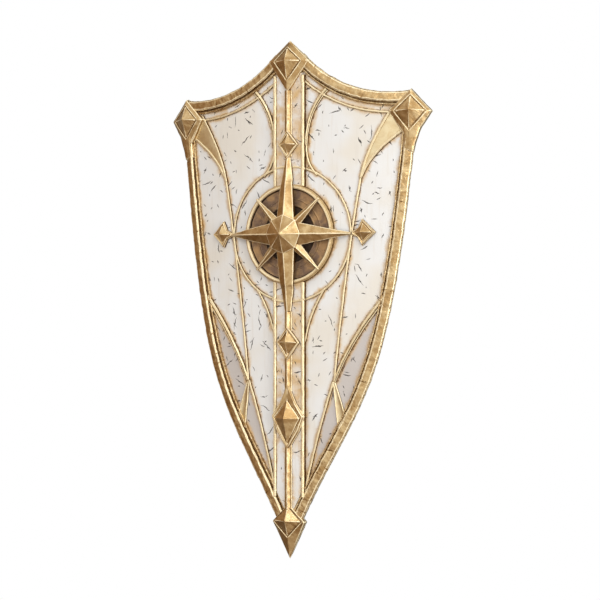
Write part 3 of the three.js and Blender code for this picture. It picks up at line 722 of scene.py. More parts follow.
def lacquered_wood():
    """White lacquer over a gessoed wooden board: satin, yellowed in broad patches, stained brown beside
    the gilding, greyer in the lower side panels, and crazed with short dark cracks. The back is bare oiled
    wood."""
    material, add, coordinates = new_material("lacquered_wood")
    names = ("stain", "panel", "back")
    stain, panel, back = (add("Attribute", output="Fac", attribute_name=name) for name in names)
    brushing = add("Mapping", {"Vector": coordinates, "Scale": (1.0, 0.09, 1.0)})
    along_grain = add("Mapping", {"Vector": coordinates, "Scale": (1.0, 0.05, 1.0)})
    names = ("Vector", "Scale", "Detail", "Roughness", "Distortion")
    noises = (
        (coordinates, 1000 / 120, 3.0, 0.5, 0.0),
        (coordinates, 1000 / 32, 4.0, 0.6, 0.4),
        (coordinates, 1000 / 6, 3.0, 0.6, 0.0),
        (brushing, 1000 / 7, 3.0, 0.55, 0.0),
        (along_grain, 1000 / 5, 5.0, 0.65, 1.2),
    )
    broad, cloud, fine, brushed, grain = (add("TexNoise", dict(zip(names, noise))) for noise in noises)

    patchy = add("Math", (cloud, 1.3, -0.78), operation="MULTIPLY_ADD")
    bleeding = add("Math", (stain, patchy), operation="ADD")
    ragged = add("Math", (fine, 0.6, -0.32), operation="MULTIPLY_ADD")
    # The stain share with a ragged edge; where it is highest, hard against the gilding, it is painted dark as
    # shade
    edge = add("Math", (stain, ragged), operation="ADD")
    large = strokes(add, coordinates, 40, 15.0, 1.4, 0.8, 10)
    small = strokes(add, coordinates, 22, 6.5, 1.1, 0.55, 6)
    cracks = add("Math", (large, small), operation="MAXIMUM")
    cracks = add("Math", (cracks, add("MapRange", (fine, 0.28, 0.44), **SMOOTH)), operation="MULTIPLY")
    timber_share = add("MapRange", (grain, 0.35, 0.7), **SMOOTH)
    timber = layered(add, linear("5A3A1C"), (timber_share, finish_colour("wood")))
    colour = layered(
        add,
        finish_colour("lacquer"),
        (add("MapRange", (broad, 0.42, 0.66, 0.0, 0.75), **SMOOTH), finish_colour("lacquer_warm")),
        (add("MapRange", (brushed, 0.5, 0.75, 0.0, 0.35), **SMOOTH), linear("DAD4CA")),
        (add("MapRange", (panel, 0.4, 0.6), **SMOOTH), finish_colour("lacquer_grey")),
        (add("MapRange", (bleeding, 0.36, 1.0, 0.0, 0.95), **SMOOTH), finish_colour("stain")),
        # Dark brown where the stain share is highest: painted shade hard against the gilding and beside the
        # lath's edging and spine, and darker stain in blotches on the lower lath, where the share is high
        # throughout
        (add("MapRange", (edge, 0.82, 1.03, 0.0, 0.9), **SMOOTH), linear("7A5730")),
        (add("Math", (cracks, 0.92), operation="MULTIPLY"), finish_colour("chip")),
        (add("MapRange", (back, 0.4, 0.6), **SMOOTH), timber),
    )
    rough = add("MapRange", (cloud, 0.3, 0.7, 0.42, 0.58), **SMOOTH)
    height = add("Math", (add("Math", (fine, 0.25), operation="MULTIPLY"), cracks), operation="SUBTRACT")
    return connect(material, add, (height, 0.6, 0.7), Base_Color=colour, Roughness=rough)


def harness_leather():
    """Vegetable-tanned harness leather: brown in two shades, paler along its rubbed edges, with a pebbled
    grain of about 1.6 mm and a low sheen."""
    material, add, coordinates = new_material("harness_leather")
    grain = add("TexVoronoi", {"Vector": coordinates, "Scale": 1000 / 1.6, "Randomness": 0.9}, "Distance")
    cloud = add("TexNoise", {"Vector": coordinates, "Scale": 1000 / 18, "Detail": 4.0, "Roughness": 0.55})
    tone = add("Attribute", output="Fac", attribute_name="tone")
    colour = layered(
        add,
        linear("3D2414"),
        (add("MapRange", (cloud, 0.35, 0.65), **SMOOTH), finish_colour("leather")),
        (add("MapRange", (tone, 0.2, 0.9, 0.0, 0.6), **SMOOTH), linear("8A6038")),
    )
    rough = add("MapRange", (cloud, 0.3, 0.7, 0.5, 0.68), **SMOOTH)
    return connect(material, add, (grain, 0.4, 0.3), Base_Color=colour, Roughness=rough)


# ---- Board ----
STAIN_REACH = 11.0  # millimetres over which the stain beside the gilding falls to a third
BOARD_HEAD, BOARD_FOOT = 362, -600  # its highest and lowest points, under the caps
BOARD_LENGTH = 960.0  # in round figures, to count its rows
BOARD_CORNER = 268  # its sharp corner's x, under the corner cap,
CORNER_LOW, CORNER_HIGH = 236, 238  # and where its lower and upper edges reach it


def distance_to(points, path):
    """The distance from each (x, y) point to the nearest point of a path, which is taken in parts to save
    memory."""
    nearest = np.full(len(points), 1e9)
    for start in range(0, len(path), 60):
        gap = points[:, None, :] - path[None, start : start + 60, :2]
        nearest = np.minimum(nearest, np.sqrt((gap**2).sum(-1)).min(1))
    return nearest


def stain_beside_gilding(points):
    """exp(-d / reach), where d is the distance to the nearest bar, strip, rim or edging, and d itself."""
    rim = polar((0, 0), MEDALLION_RADIUS, -90, 90, 120)
    lines = [(inner_side(), 0.0), (top_edge(20, 250, BAR_WIDTH), 0.0), (rim, 0.0)]
    lines += [(path, width / 2) for path, width, _ in tracery_lines()]
    near = np.min([distance_to(points, path) - half for path, half in lines], axis=0)
    near = np.clip(np.minimum(near, np.abs(points[:, 0] - FLAT_HALF)), 0, None)
    return np.exp(-near / STAIN_REACH), near


def panel_share(points):
    """1 in the lower side panels, between the braces and the edge bars, and 0 elsewhere, with 0.5 on the
    braces."""
    line = np.concatenate([bezier(LOWER_BRACE, 60)[::-1], bezier(UPPER_BRACE, 60)[::-1]])
    line_x = np.interp(points[:, 1], line[:, 1], line[:, 0])
    return np.where(points[:, 1] < UPPER_BRACE[0][1], np.clip(0.5 + (points[:, 0] - line_x) / 8, 0, 1), 0.0)


def build_board():
    """The board's face is a grid over (share across, share up). Each column runs from the lower edge to the
    upper edge at its x; the back is the same grid a thickness below, and a wall joins their rims."""
    step = 1000 * form().board_step
    side = side_edge()
    wall = side[:, :2] + path_frame(side) * BAR_WALL
    low_edge = np.vstack([[0, BOARD_FOOT], wall, [BOARD_CORNER, CORNER_LOW]])
    low_edge = low_edge[np.argsort(low_edge[:, 0])]
    top = top_edge(28, 252, inward=BAR_WALL)[:, :2]
    high_edge = np.vstack([[0, BOARD_HEAD], top, [BOARD_CORNER, CORNER_HIGH]])
    # Even columns as far as 250 mm, and then six to the corner
    half = np.concatenate([np.linspace(0, 250, int(250 / step)), np.linspace(252, BOARD_CORNER - 1, 6)])
    low, high = np.interp(half, *low_edge.T), np.interp(half, *high_edge.T)
    low, high = np.concatenate([low[:0:-1], low]), np.concatenate([high[:0:-1], high])
    share = np.linspace(0, 1, int(BOARD_LENGTH / step))[:, None]
    face = np.zeros((len(share), len(low), 4))
    face[..., 0] = np.concatenate([-half[:0:-1], half])
    face[..., 1] = low + (high - low) * share
    points = face.reshape(-1, 4)
    right = np.column_stack([np.abs(points[:, 0]), points[:, 1]])
    stain, near = stain_beside_gilding(right)
    points[:, 2] += 0.5 * lattice_noise(points[:, :3], 60, 3) * np.clip(near / 10, 0, 1)
    none = np.zeros(len(points))
    shares = {"stain": (stain, none), "panel": (panel_share(right), none), "back": (none, none + 1)}
    shares = {name: np.concatenate(sides) for name, sides in shares.items()}
    make_piece("board", plate(face, -BOARD_THICKNESS), lacquered_wood, "lacquer", "lacquered", shares)


# ---- Edge bars ----
BAR_SECTION = (
    (4.4, -9.3), (12, -9.3), (12, -8.2), (6, -8.2), (6, 0.1), (26, 0.1),
    (26, 4.0), (25, 5.2), (23.4, 5.2), (22.4, 4.2), (21.9, 2.0), (20.2, 2.2),
    (19.4, 7.6), (17.2, 9.2), (10, 8.9), (3.0, 7.6), (0.9, 5.4), (0, 2.8),
)  # fmt: skip
NICK_SPACING = 48.0  # millimetres of bar to each nick


def nicked(patch, path, columns, seed):
    """Cuts narrow nicks across a bar. Each nick is a slanted valley across the rows: its depth falls off as
    the square of the distance along the bar, and it fades towards one side."""
    rng = np.random.default_rng(seed)
    run = running_length(path)
    grid = patch.points[: len(path) * columns].reshape(len(path), columns, 4)
    spread = np.linalg.norm(grid[:, :, :2] - path[:, None, :2], axis=-1) / BAR_WIDTH
    depth = np.zeros(grid.shape[:2])
    for _ in range(int(run[-1] / NICK_SPACING)):
        ranges = ((0, run[-1]), (-11, 11), (-0.2, 1.0), (0.6, 1.0))
        at, slant, start, width = (rng.uniform(*ends) for ends in ranges)
        gap = (run[:, None] - at - slant * spread) / width
        side = np.clip(1.1 - np.abs(spread - start) * rng.uniform(2.2, 5), 0, 1)
        depth = np.maximum(depth, np.exp(-(gap**2)) * side)
    depth *= grid[..., 2] > 3.5  # only on the face
    grid[..., 2] -= 1000 * form().nick_depth * depth
    # Each nick is darkened with dirt and painted shade
    grid[..., 3] = np.clip(grid[..., 3] - 1.1 * depth, -1, 1)
    return patch


def build_edge_bars():
    """Each bar is a section carried along its edge: a ridged face, a groove, and a fillet inside it. The
    fillet is less rubbed than the face, and the groove is dirty."""
    profile = divided(softened(section(*BAR_SECTION), ALONG, True), 3.0, closed=True)
    sideways, height = profile[:, 0], profile[:, 2]
    # The fillet is rubbed less, and its painted highlight is weaker
    profile[:, 3] = np.where(sideways > 21, np.minimum(profile[:, 3], 0.35), profile[:, 3])
    # The groove is painted darker, as shade
    profile[(sideways > 19.5) & (sideways < 22.3) & (height < 7), 3] = -0.5
    for name, path, seed in (("side", side_edge(), 11), ("top", evenly(top_edge(252, 32), 1.5), 23)):
        for number, way in enumerate(("right", "left")):
            bar = nicked(carried(path, profile), path, len(profile), seed + number)
            bar = dented(bar, 1.5, seed)
            shape = bar if way == "right" else bar.mirrored()
            make_piece(f"edge_bar_{name}_{way}", shape, gilt_castings, "gilt")


# ---- Caps ----
def gem_levels(outline, centre, base, rise, step=1.5):
    """A low step, then facets that rise to a point over the centre."""
    base = np.array(base)
    return [
        (outline, base, 0.7),
        (toward(outline, centre, 0.04), base + step, 1.0),
        (toward(outline, centre, 1.0), base.mean() + step + rise, 1.0),
    ]


def build_cap(name, outline, gem, centre, shoulder, lip, rise, seed, make):
    """A cap. Its wall leans out from the back and turns in to a shoulder; its face climbs from there to a lip
    beside the gem; and the gem's facets rise from a dirty groove. Shoulder and lip may differ by corner."""
    shoulder, lip = np.array(shoulder), np.array(lip)
    groove = lip - 1.0
    cap = terrace(
        [
            (inset(outline, WALL_LEAN), BACK_Z + 0.2, 1.0),
            (outline, np.minimum(WALL_TOP_Z, shoulder - 2.4), 1.0),
            (inset(outline, 1.6), shoulder - 1.2, 1.0),
            (inset(outline, 3.6), shoulder, 0.7),
            (toward(gem, centre, -0.15), lip, 0.6),
            (toward(gem, centre, -0.1), groove, 0.0, 0.05),
            (toward(gem, centre, -0.04), groove, 0.0, 0.05),
            (toward(gem, centre, 0.02), lip + 0.2, 1.0),
            (toward(gem, centre, 1.0), lip.mean() + rise, 1.0),
        ],
        rounding=1.2,
        wear=1.3,
    )
    make(name, dented(cap, 0.9, seed), gilt_castings, "gilt")


def build_caps():
    """The caps are lower at the tip that points away, and the top cap is higher where it laps over the
    spine."""
    gem = ((0, 357), (-26, 333), (0, 300), (26, 333))
    shoulder, lip = (4.6, 10.0, 15.6, 10.0), (14.0, 14.0, 17.0, 14.0)
    build_cap("cap_top", TOP_CAP, gem, (0, 334), shoulder, lip, 10.5, 31, make_piece)

    gem = ((0, -525), (-28, -552), (0, -580), (28, -552))
    shoulder, lip = (10.5, 10.5, 5.4, 10.5), (13.2, 13.6, 13.6, 13.6)
    build_cap("cap_bottom", BOTTOM_CAP, gem, (0, -552), shoulder, lip, 10.5, 37, make_piece)

    # The corners of the neck meet the gem along its two lower sides and at its lowest corner
    gem = (
        (250, 257), (222, 230), (236, 212), (245, 201), (248, 197),
        (249.5, 198.7), (254, 203.5), (264, 214.5), (277, 230),
    )  # fmt: skip
    shoulder, lip = (11.2, 11.2, 10.4, 9.4, 9.9, 9.4, 9.8, 10.6, 11.2), (14.0,) * 9
    build_cap("cap_corner_{}", CORNER_CAP, gem, (249, 232), shoulder, lip, 10.0, 41, make_pair)


# ---- Centre: lath, edging and spine ----
def build_lath(part):
    """A grid of rows between the medallion's rim and a cap or the side bars. Beside its long edges it falls
    by 1.2 (1 - b)^2, where b is the distance from the edge over 2 mm."""
    x = np.linspace(-LATH_HALF, LATH_HALF, 30)
    rim = np.sqrt(UNDER_RIM**2 - x**2)
    if part == "upper":
        start, stop = rim, LATH_HEAD - np.abs(x) * 0.45
    else:
        inner = inner_side(0.5)
        inner = inner[np.argsort(inner[:, 0])]
        start, stop = np.maximum(np.interp(np.abs(x), *inner.T), LATH_FOOT), -rim
    share = np.linspace(0, 1, 150)[:, None]
    top = np.zeros((len(share), len(x), 4))
    top[..., 0], top[..., 1] = x, start + (stop - start) * share
    top[..., 2] = LATH_TOP - 1.2 * (1 - np.clip((LATH_HALF - np.abs(x)) / 2.0, 0, 1)) ** 2
    points = top.reshape(-1, 4)
    points[:, 2] += 0.3 * lattice_noise(points[:, :3], 25, 5)

    # Stained most beside the edging and the spine, in streaks, and least near the foot
    stain = 0.76 if part == "upper" else np.interp(points[:, 1], (-430, -380), (0.5, 0.85))
    to_edging, to_spine = LATH_HALF - np.abs(points[:, 0]), np.abs(np.abs(points[:, 0]) - 9)
    stain = stain + 0.35 * np.exp(-np.minimum(to_edging, to_spine) / 5)
    stain = np.minimum(stain + 0.15 * lattice_noise(points[:, :3] * [1, 0.08, 1], 4.5, 6), 0.82)
    none = np.zeros(2 * len(points))
    shares = {"stain": np.concatenate([stain, stain * 0]), "panel": none, "back": none}
    make_piece(f"lath_{part}", plate(top, ON_BOARD), lacquered_wood, "lacquer", "lacquered", shares)


def build_edging(part):
    """A rail along the lath, joined to the piece of the halo's circle that crosses the lath."""
    rail = softened(symmetric((3, ON_BOARD), (3, 8.5), (1.6, 10.4)), ALONG, True, rounding=0.6)
    ends = points_of(*((EDGING_MIDDLE, end) for end in EDGING_RUNS[part]))
    strand = softened(symmetric((2, 7), (2, 9.2), (1.2, 10)), ALONG, True, rounding=0.4)
    arc = polar((0, 0), HALO_RADIUS, *((74, 86) if part == "upper" else (-86, -74)), 12)
    edging = joined(carried(divided(ends, 1.5), rail), carried(divided(arc, 1.5), strand))
    make_pair(f"edging_{part}_{{}}", dented(edging, 1.0, 53), gilt_strip, "pale_gilt")


def build_spine(part):
    """A ridged bar with a narrow step on each side, carried along the lath."""
    corners = ((8, SPINE_BASE), (8, 9.8), (6.4, 10.6), (5.0, 10.9), (0, 15.2))
    spine = softened(symmetric(*corners), ALONG, True, rounding=0.6)
    bar = carried(divided(points_of(*((0, end) for end in SPINE_RUNS[part])), 1.5), spine)
    make_piece(f"spine_{part}", dented(bar, 1.0, 59), gilt_castings, "gilt")


def build_centre():
    """The lath, its edging and the spine, above the medallion and below it."""
    for part in ("upper", "lower"):
        build_lath(part)
        build_edging(part)
        build_spine(part)


# ---- Studs ----
def rhombus(x, y, half, up, down):
    """A four-sided outline round (x, y), from its top corner to the left."""
    return [(x, y + up), (x - half, y), (x, y - down), (x + half, y)]


def kite(top, right, foot):
    """An outline that is the same on both sides, from its top, the corners of its right side, and its
    foot."""
    return [(0, top), *((-x, y) for x, y in right[::-1]), (0, foot), *right]


def build_small_stud(name, y, half, up, down, gem_half, gem_up, gem_down, seed):
    """A rhombic plate with a lipped frame, and a faceted gem in it. Its two tips on the ridged bar stand
    above the bar's ridge."""
    low, plate_top = LATH_TOP, LATH_TOP + 4.2
    centre = (0, y + 1)
    outline, gem = rhombus(0, y, half, up, down), rhombus(0, y, gem_half, gem_up, gem_down)
    edge = low + np.array((8.2, 4.6, 8.2, 4.6))
    stud = terrace(
        [
            (outline, low, 1.0),
            (outline, edge - 1.4, 1.0),
            (toward(outline, centre, 0.07), edge, 0.5),
            (toward(gem, centre, -0.06), np.maximum(edge - 1.0, plate_top), 0.4),
            *gem_levels(gem, centre, plate_top, 11, step=0.8),
        ],
        spacing=2.5,
        rounding=0.8,
        wear=1.2,
    )
    make_piece(name, dented(stud, 0.8, seed), gilt_castings, "gilt")


def build_studs():
    """Two small studs and a large one on the ridged bar, and one at each end of the star's level rays."""
    build_small_stud("stud_upper", 173, 22, 28, 28, 16.5, 20, 20, 61)
    build_small_stud("stud_lower", -208, 25, 31, 36, 19, 22, 26, 67)

    outline = kite(-283, [(26, -378), (36.5, -350), (19, -326), (8, -303)], -418)
    gem = kite(-319, [(17, -374), (28, -354), (17, -340), (8, -329)], -404)
    centre = (0, -355)
    large = terrace(
        [
            (outline, LATH_TOP, 1.0),
            (outline, 11.5, 1.0),
            (toward(outline, (0, -352), 0.1), 15.0, 0.2),
            (toward(gem, centre, -0.06), 14.6, 0.2),
            (gem, 13.8, 0.4),
            (toward(gem, centre, 0.03), 15.4, 0.5),
            (toward(gem, centre, 1.0), 29.0, 0.5),
        ],
        spacing=2.5,
    )
    make_piece("stud_large", dented(large, 0.8, 71), gilt_castings, "gilt")

    outline = [(154, 28), (145, 10), (133, 4), (133, -2), (145, -8), (154, -24), (181, 2)]
    levels = [
        (outline, 0.3, 1.0),
        (outline, 5.0, 1.0),
        (inset(outline, 2.2), 8.0, 0.4),
        (inset(outline, 3.6), 7.2, 0.2),
    ]
    base = terrace(levels, spacing=2.5, end="fill", rounding=0.7, wear=1.0)
    gem = gem_levels(rhombus(156, 2, 17.5, 18, 18), (155, 2), 6.0, 11)
    gem = terrace(gem, spacing=2.5, rounding=0.7, wear=1.0)
    make_pair("stud_side_{}", dented(joined(base, gem), 0.8, 73), gilt_castings, "gilt")


# ---- Medallion and star ----
def build_medallion():
    """A profile turned once round the centre: a raised rim, a dished floor with two rings, and a well. The
    floor's edges are rubbed less than the rim's, and the rim's outer wall is dirty."""
    rim = MEDALLION_RADIUS
    ring = revolved(
        [
            (0, 0.1), (rim, 0.1), (rim - 1, 9.6), (rim - 2.8, 12.2), (rim - 6, 12.9), (rim - 8.4, 11.6),
            (rim - 10, 6.6), (rim - 13, 5.8), (rim - 27, 5.2), (rim - 27.8, 5.7), (rim - 28.8, 5.7),
            (rim - 29.6, 5.0), (rim - 38.5, 4.8), (rim - 40, 5.6), (rim - 41.6, 5.4), (rim - 43.4, 2.0),
            (40, 2.2), (0, 2.2),
        ],
        sides=216,
    )  # fmt: skip
    radius = np.linalg.norm(ring.points[:, :2], axis=1)
    ring.points[:, 3] *= np.where(radius < rim - 12, 0.4, 1.0)
    # Painted shade on the rim's outer wall
    ring.points[:, 3] -= np.where(radius > rim - 3.4, 0.7, 0.0)
    # well marks the well, which the material paints near black as shade
    gilt, well = np.clip((radius - (rim - 9.5)) / 1.5, 0, 1), np.clip((rim - 41.5 - radius) / 2, 0, 1)
    shares = {"gilt": gilt, "well": well}
    make_piece("medallion", dented(ring, 0.7, 79), ringed_bronze, "dark_bronze", "patinated", shares)


def ray(degrees, sections):
    """A ridged ray. Each section is (reach, half width, underside, ridge), and its sides are upright to half
    its height. Its corners are softened, and rows are put between the sections."""
    angle = math.radians(degrees)
    out = np.array([math.cos(angle), math.sin(angle), 0])
    left = np.array([-math.sin(angle), math.cos(angle), 0])
    rows = []
    for reach, half, low, ridge in sections:
        corners = symmetric((half, low), (half, (low + ridge) / 2), (0, ridge))
        at = out * reach + corners[:, :1] * left + corners[:, 2:3] * UPWARD
        rows.append(np.column_stack([at, corners[:, 3]]))
    grid = divided(np.stack(rows), 2.0)
    grid = across(softened, grid, out, True, rounding=0.9, wear=1.3)
    return shell(across(divided, grid, 3.0, closed=True))


def build_star():
    """Eight ridged rays from under a faceted boss. Past the medallion the long ones stand lower, on the lath
    or on the board."""
    high, band = STAR_BASE, BAND_Z
    side = [(24, 23, high, 32), (98, 8.5, high, 20), (106, 6.8, 9, 17), (132, 2.4, 4.2, 9)]
    up = [(24, 19, high, 32), (98, 12.5, high, 22), (106, 11.5, band, 20), (149, 5.0, band, 14)]
    down = [(24, 19.5, high, 32), (98, 14, high, 22), (106, 13, band, 20), (149.4, 6.5, band, 15.2)]
    diagonal = [(24, 11, high, 29), (97, 1.6, high, 15.4)]
    rays = [ray(0, side), ray(90, up), ray(180, side), ray(270, down)]
    rays += [ray(degrees, diagonal) for degrees in (45, 135, 225, 315)]
    octagon = polar((0, 0), 1, 0, 315, 8)[:, :2]
    levels = ((BOSS_RADIUS - 5, high), (BOSS_RADIUS - 1, 29.5), (BOSS_RADIUS, 31), (0.01, 45.3))
    # least=0.75 gives every ridge of the boss a tone of at least 0.75: a painted highlight on each
    boss = terrace([(octagon * radius, height, 1.0) for radius, height in levels], wear=1.1, least=0.75)
    make_piece("star", dented(joined(boss, *rays), 0.8, 83), gilt_castings, "gilt")


# ---- Tracery ----
WIDE_STRIP = 8.0  # strips wider than this are a broad bar with a thin one beside it


def tracery_lines():
    """Each line of the right grille as (path, width, height)."""
    arch, flare = 141.3, 70.0
    edge = FLAT_HALF + 2
    return [
        (top_edge(14, 209, 39.0), 4.6, 3.3),
        (polar((edge + arch, 175), arch, 134, 182, 60), 10.0, 4.8),
        (polar((edge + flare, 165), flare, 175, 228, 40), 4.6, 3.5),
        (bezier(HORN_OUTER, 60), 6.0, 4.2),
        (bezier(HORN_INNER, 50), 6.0, 4.0),
        (bezier(LONG_LINE, 120), 5.0, 3.7),
        (polar((0, 0), HALO_RADIUS, 76, -76, 120), 4.8, 3.4),
        (bezier(LOWER_FLARE, 50), 4.6, 3.6),
        (bezier(UPPER_BRACE, 80), 12.0, 4.9),
        (bezier(LOWER_BRACE, 90), 5.6, 4.0),
    ]


def strip(path, width, height):
    """A strip's section carried along its line, lying on the board. A wide strip narrows to 0.55 of its
    width."""
    half, wide = width / 2, width > WIDE_STRIP
    if wide:
        corners = section(
            (-half, 0.1), (half, 0.1), (0.9 * half, height * 0.7), (0.62 * half, height * 0.8),
            (0.45 * half, 1.2), (0.3 * half, 1.2), (0.15 * half, height * 0.8), (-0.3 * half, height),
            (-0.85 * half, height * 0.7),
        )  # fmt: skip
    else:
        corners = symmetric((half, 0.1), (0.72 * half, height * 0.85), (0, height))
    run = evenly(path, 1.6)
    run[:, 2:] = 0
    profile = softened(corners, ALONG, True, rounding=0.6, wear=0.6)
    return carried(run, profile, np.linspace(1, 0.55, len(run)) if wide else 1.0)


def build_tracery():
    """The right grille is its strips and a wedge joined, and the left one is the same mirrored. The inlay is
    a sheet between the horn's two strips, crowned by 0.5 sin(pi s) at a share s of the way across."""
    wedge = [(93, -284), (104, -389), (123, -358), (99, -284)]
    levels = [(wedge, 0.1, 1), (wedge, 2.6, 1), (inset(wedge, 1.6), 3.6, 0.5), (inset(wedge, 2.8), 2.6, 0.2)]
    grille = joined(*(strip(*line) for line in tracery_lines()), terrace(levels, end="fill"))
    make_pair("tracery_{}", dented(grille, 0.8, 89), gilt_strip, "pale_gilt")

    outer, inner = bezier(HORN_OUTER, 40)[None, :38], bezier(HORN_INNER, 40)[None, :38]
    share = np.linspace(0, 1, 10)[:, None, None]
    sheet = outer * (1 - share) + inner * share
    sheet[..., 2] = 1.9 + 0.5 * np.sin(np.pi * share[..., 0])
    make_pair("horn_inlay_{}", dented(plate(sheet, ON_BOARD), 0.5, 97), gilt_strip, "gilt")


# ---- Straps and rivets ----
RIVET_DOME = ((0, 3), (4, 2.6), (7, 1.4), (8, 0.2), (8, 0), (0, 0))  # its radii, and depths under the strap


def build_straps():
    """A strap is a flat section carried up the back, sagging by half the arch times 1 + cos(pi y / reach)
    between its flat ends. A rivet's domed head, turned round its middle, lies on each end."""
    for name, width in STRAP_WIDTH.items():
        reach = STRAP_HALF_LENGTH - STRAP_FLAT_END
        y = np.linspace(-STRAP_HALF_LENGTH, STRAP_HALF_LENGTH, 110)
        arch = np.where(np.abs(y) < reach, STRAP_ARCH / 2 * (1 + np.cos(np.pi * y / reach)), 0)
        corners = symmetric((width / 2, -STRAP_THICKNESS), (width / 2, 0))
        profile = divided(softened(corners, ALONG, True, rounding=1.2), 3.0, closed=True)
        path = np.zeros((len(y), 4))
        path[:, 0], path[:, 1] = STRAP_X[name], STRAP_Y + y
        path[:, 2] = -BOARD_THICKNESS - 0.3 - arch
        make_piece(name, dented(carried(path, profile), 0.6, 101), harness_leather, "leather", "leather")
        for end, side in (("upper", 1), ("lower", -1)):
            under = -BOARD_THICKNESS - 0.6 - STRAP_THICKNESS
            dome = [(radius, under - depth) for radius, depth in RIVET_DOME]
            centre = (STRAP_X[name], STRAP_Y + side * (STRAP_HALF_LENGTH - RIVET_INSET))
            head = revolved(dome, centre, sides=48, rounding=0.4)
            make_piece(f"rivet_{name.split('_')[0]}_{end}", head, gilt_castings, "gilt")


# ---- Stage ----
ROOM_STRENGTH = 1.14
FLOOR_GLOW = 0.3  # on the shield; to the eye it is 1
FLOOR_REACH = 12.0  # metres
LIGHTS = (  # name, place, width and length in metres, and watts
    ("key", (2.2, 2.6, 3.2), 2.2, 2.2, 14.0),
    ("side", (3.4, -0.2, 1.5), 1.6, 1.6, 40.0),
    ("window", (1.05, 1.45, 3.2), 0.8, 0.7, 11.0),
)
CAMERA_TURN = math.radians(30)  # round to the shield's right
CAMERA_PLACE = (17.8, -126.7, 4457.0)  # millimetres to the right, up and away from the medallion's centre
CAMERA_LENS = 138.6  # millimetres, over a sensor 36 wide


def pale_surround():
    """A room that is white overhead, to the right and beyond the top of the shield, and dim and brown to the
    left and below its foot. Each direction's part along (0.35, 0.5, 0.79) sets its colour. Near the horizon
    it is brighter, by (1 - z)^3, except towards the foot; that glow is white to the right and tan to the
    left. Seen directly, the room is plain white."""
    world = bpy.data.worlds.new("pale surround")
    world.use_nodes = True
    background = world.node_tree.nodes["Background"].inputs
    add = functools.partial(add_node, world.node_tree)
    direction = add("TexCoord", output="Generated")
    part = add("VectorMath", (direction, (0.35, 0.5, 0.79)), "Value", operation="DOT_PRODUCT")
    x, y, z = add("SeparateXYZ", (direction,)).node.outputs
    low = add("Math", (add("Math", (1.0, z), operation="SUBTRACT", use_clamp=True), 3.0), operation="POWER")
    low = add("Math", (low, add("MapRange", (y, -0.45, 0.0), **SMOOTH)), operation="MULTIPLY")
    to_right = add("MapRange", (x, -0.6, 0.1), **SMOOTH)
    colour = layered(
        add,
        linear("4A3018"),
        (add("MapRange", (part, -0.4, 0.25), **SMOOTH), linear("8F6C42")),
        (add("MapRange", (part, 0.1, 0.78), **SMOOTH), linear("FFFFFF")),
        (low, layered(add, linear("B88D5C"), (to_right, linear("FFF4E2")))),
        (add("LightPath", output="Is Camera Ray"), linear("FFFFFF")),
    )
    world.node_tree.links.new(colour, background["Color"])
    background["Strength"].default_value = ROOM_STRENGTH
    return world


def build_floor():
    """A square that gives light like a light table: white to the eye, and fainter on the shield."""
    mesh = bpy.data.meshes.new("floor")
    corners = [(-1, -1, 0), (1, -1, 0), (1, 1, 0), (-1, 1, 0)]
    mesh.from_pydata(np.array(corners) * FLOOR_REACH, [], [(0, 1, 2, 3)])
    floor = bpy.data.objects.new("floor", mesh)
    bpy.context.scene.collection.objects.link(floor)
    material, add, _ = new_material("white light table")
    values = {"Base Color": linear("000000"), "Specular IOR Level": 0.0, "Emission Color": linear("FFFFFF")}
    for name, value in values.items():
        sockets(material)[name].default_value = value
    seen = add("LightPath", output="Is Camera Ray")
    connect(material, add, Emission_Strength=add("MapRange", (seen, 0.0, 1.0, FLOOR_GLOW, 1.0), **SMOOTH))
    floor.data.materials.append(material)


def build_camera():
    """The camera stands to the shield's right and faces it, square to its length."""
    cos, sin = math.cos(CAMERA_TURN), math.sin(CAMERA_TURN)
    axes = np.array([[cos, 0, -sin], [0, 1, 0], [sin, 0, cos]])  # its right, its up, and backwards
    data = bpy.data.cameras.new("camera")
    data.lens, data.sensor_width = CAMERA_LENS, 36.0
    camera = bpy.data.objects.new("camera", data)
    camera.location = (tipped(np.array(CAMERA_PLACE) @ axes) + OFFSET) / 1000
    camera.rotation_mode = "QUATERNION"
    camera.rotation_quaternion = Matrix(tipped(axes).T.tolist()).to_quaternion()
    bpy.context.scene.collection.objects.link(camera)
    bpy.context.scene.camera = camera


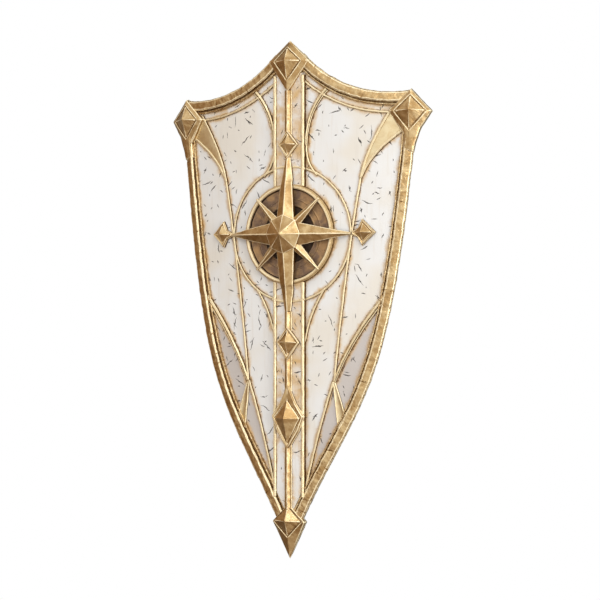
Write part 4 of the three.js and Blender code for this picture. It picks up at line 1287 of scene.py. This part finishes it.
def build_stage():
    """A plain pale floor, a soft white surround, and large soft lights from above and to the right."""
    scene = bpy.context.scene
    scene.view_settings.view_transform = "Standard"
    scene.view_settings.look = "None"
    scene.world = pale_surround()
    build_floor()
    for name, position, width, length, watts in LIGHTS:
        data = bpy.data.lights.new(name, "AREA")
        data.shape = "RECTANGLE"
        data.size, data.size_y, data.energy = width, length, watts
        lamp = bpy.data.objects.new(name, data)
        lamp.location = position
        lamp.rotation_euler = (-Vector(position)).to_track_quat("-Z", "Y").to_euler()
        scene.collection.objects.link(lamp)
    build_camera()


# ---- Operators ----
def operator(idname, label, words, build):
    """An operator class that runs one build function."""

    def execute(self, context):
        build()
        return {"FINISHED"}

    parts = {"bl_idname": "shield." + idname, "bl_label": label, "__doc__": words, "execute": execute}
    return type("SHIELD_OT_" + idname, (bpy.types.Operator,), parts)


STEPS = [
    ("board", "Board", "Build the curved lacquered board", build_board),
    ("edge_bars", "Edge bars", "Build the gilt bars along the edges", build_edge_bars),
    ("caps", "Caps", "Build the caps of the points and corners", build_caps),
    ("centre", "Centre lath", "Build the lath, its edging and the ridged bar", build_centre),
    ("medallion", "Medallion", "Build the dished ring plate", build_medallion),
    ("star", "Star", "Build the eight-pointed star", build_star),
    ("studs", "Studs", "Build the faceted studs", build_studs),
    ("tracery", "Tracery", "Build the gilt strips and inlays", build_tracery),
    ("straps", "Straps", "Build the leather straps and their rivets", build_straps),
    ("stage", "Stage", "Build the floor, lights and camera", build_stage),
]
OPERATORS = [operator(*step) for step in STEPS]


class SHIELD_PT_sidebar(bpy.types.Panel):
    """Lists the shield's settings and operators"""

    bl_label = "Shield"
    bl_space_type = "VIEW_3D"
    bl_region_type = "UI"
    bl_category = "Shield"

    def draw(self, context):
        for settings in (context.scene.shield_form, context.scene.shield_finish):
            for name in settings.__annotations__:
                self.layout.prop(settings, name)
        for made in OPERATORS:
            self.layout.operator(made.bl_idname)


CLASSES = [ShieldForm, ShieldFinish, *OPERATORS, SHIELD_PT_sidebar]


def register():
    for made in CLASSES:
        bpy.utils.register_class(made)
    bpy.types.Scene.shield_form = bpy.props.PointerProperty(type=ShieldForm)
    bpy.types.Scene.shield_finish = bpy.props.PointerProperty(type=ShieldFinish)


def unregister():
    del bpy.types.Scene.shield_finish
    del bpy.types.Scene.shield_form
    for made in reversed(CLASSES):
        bpy.utils.unregister_class(made)


def main():
    register()
    for name, *_ in STEPS:
        getattr(bpy.ops.shield, name)()


if __name__ == "__main__":
    main()
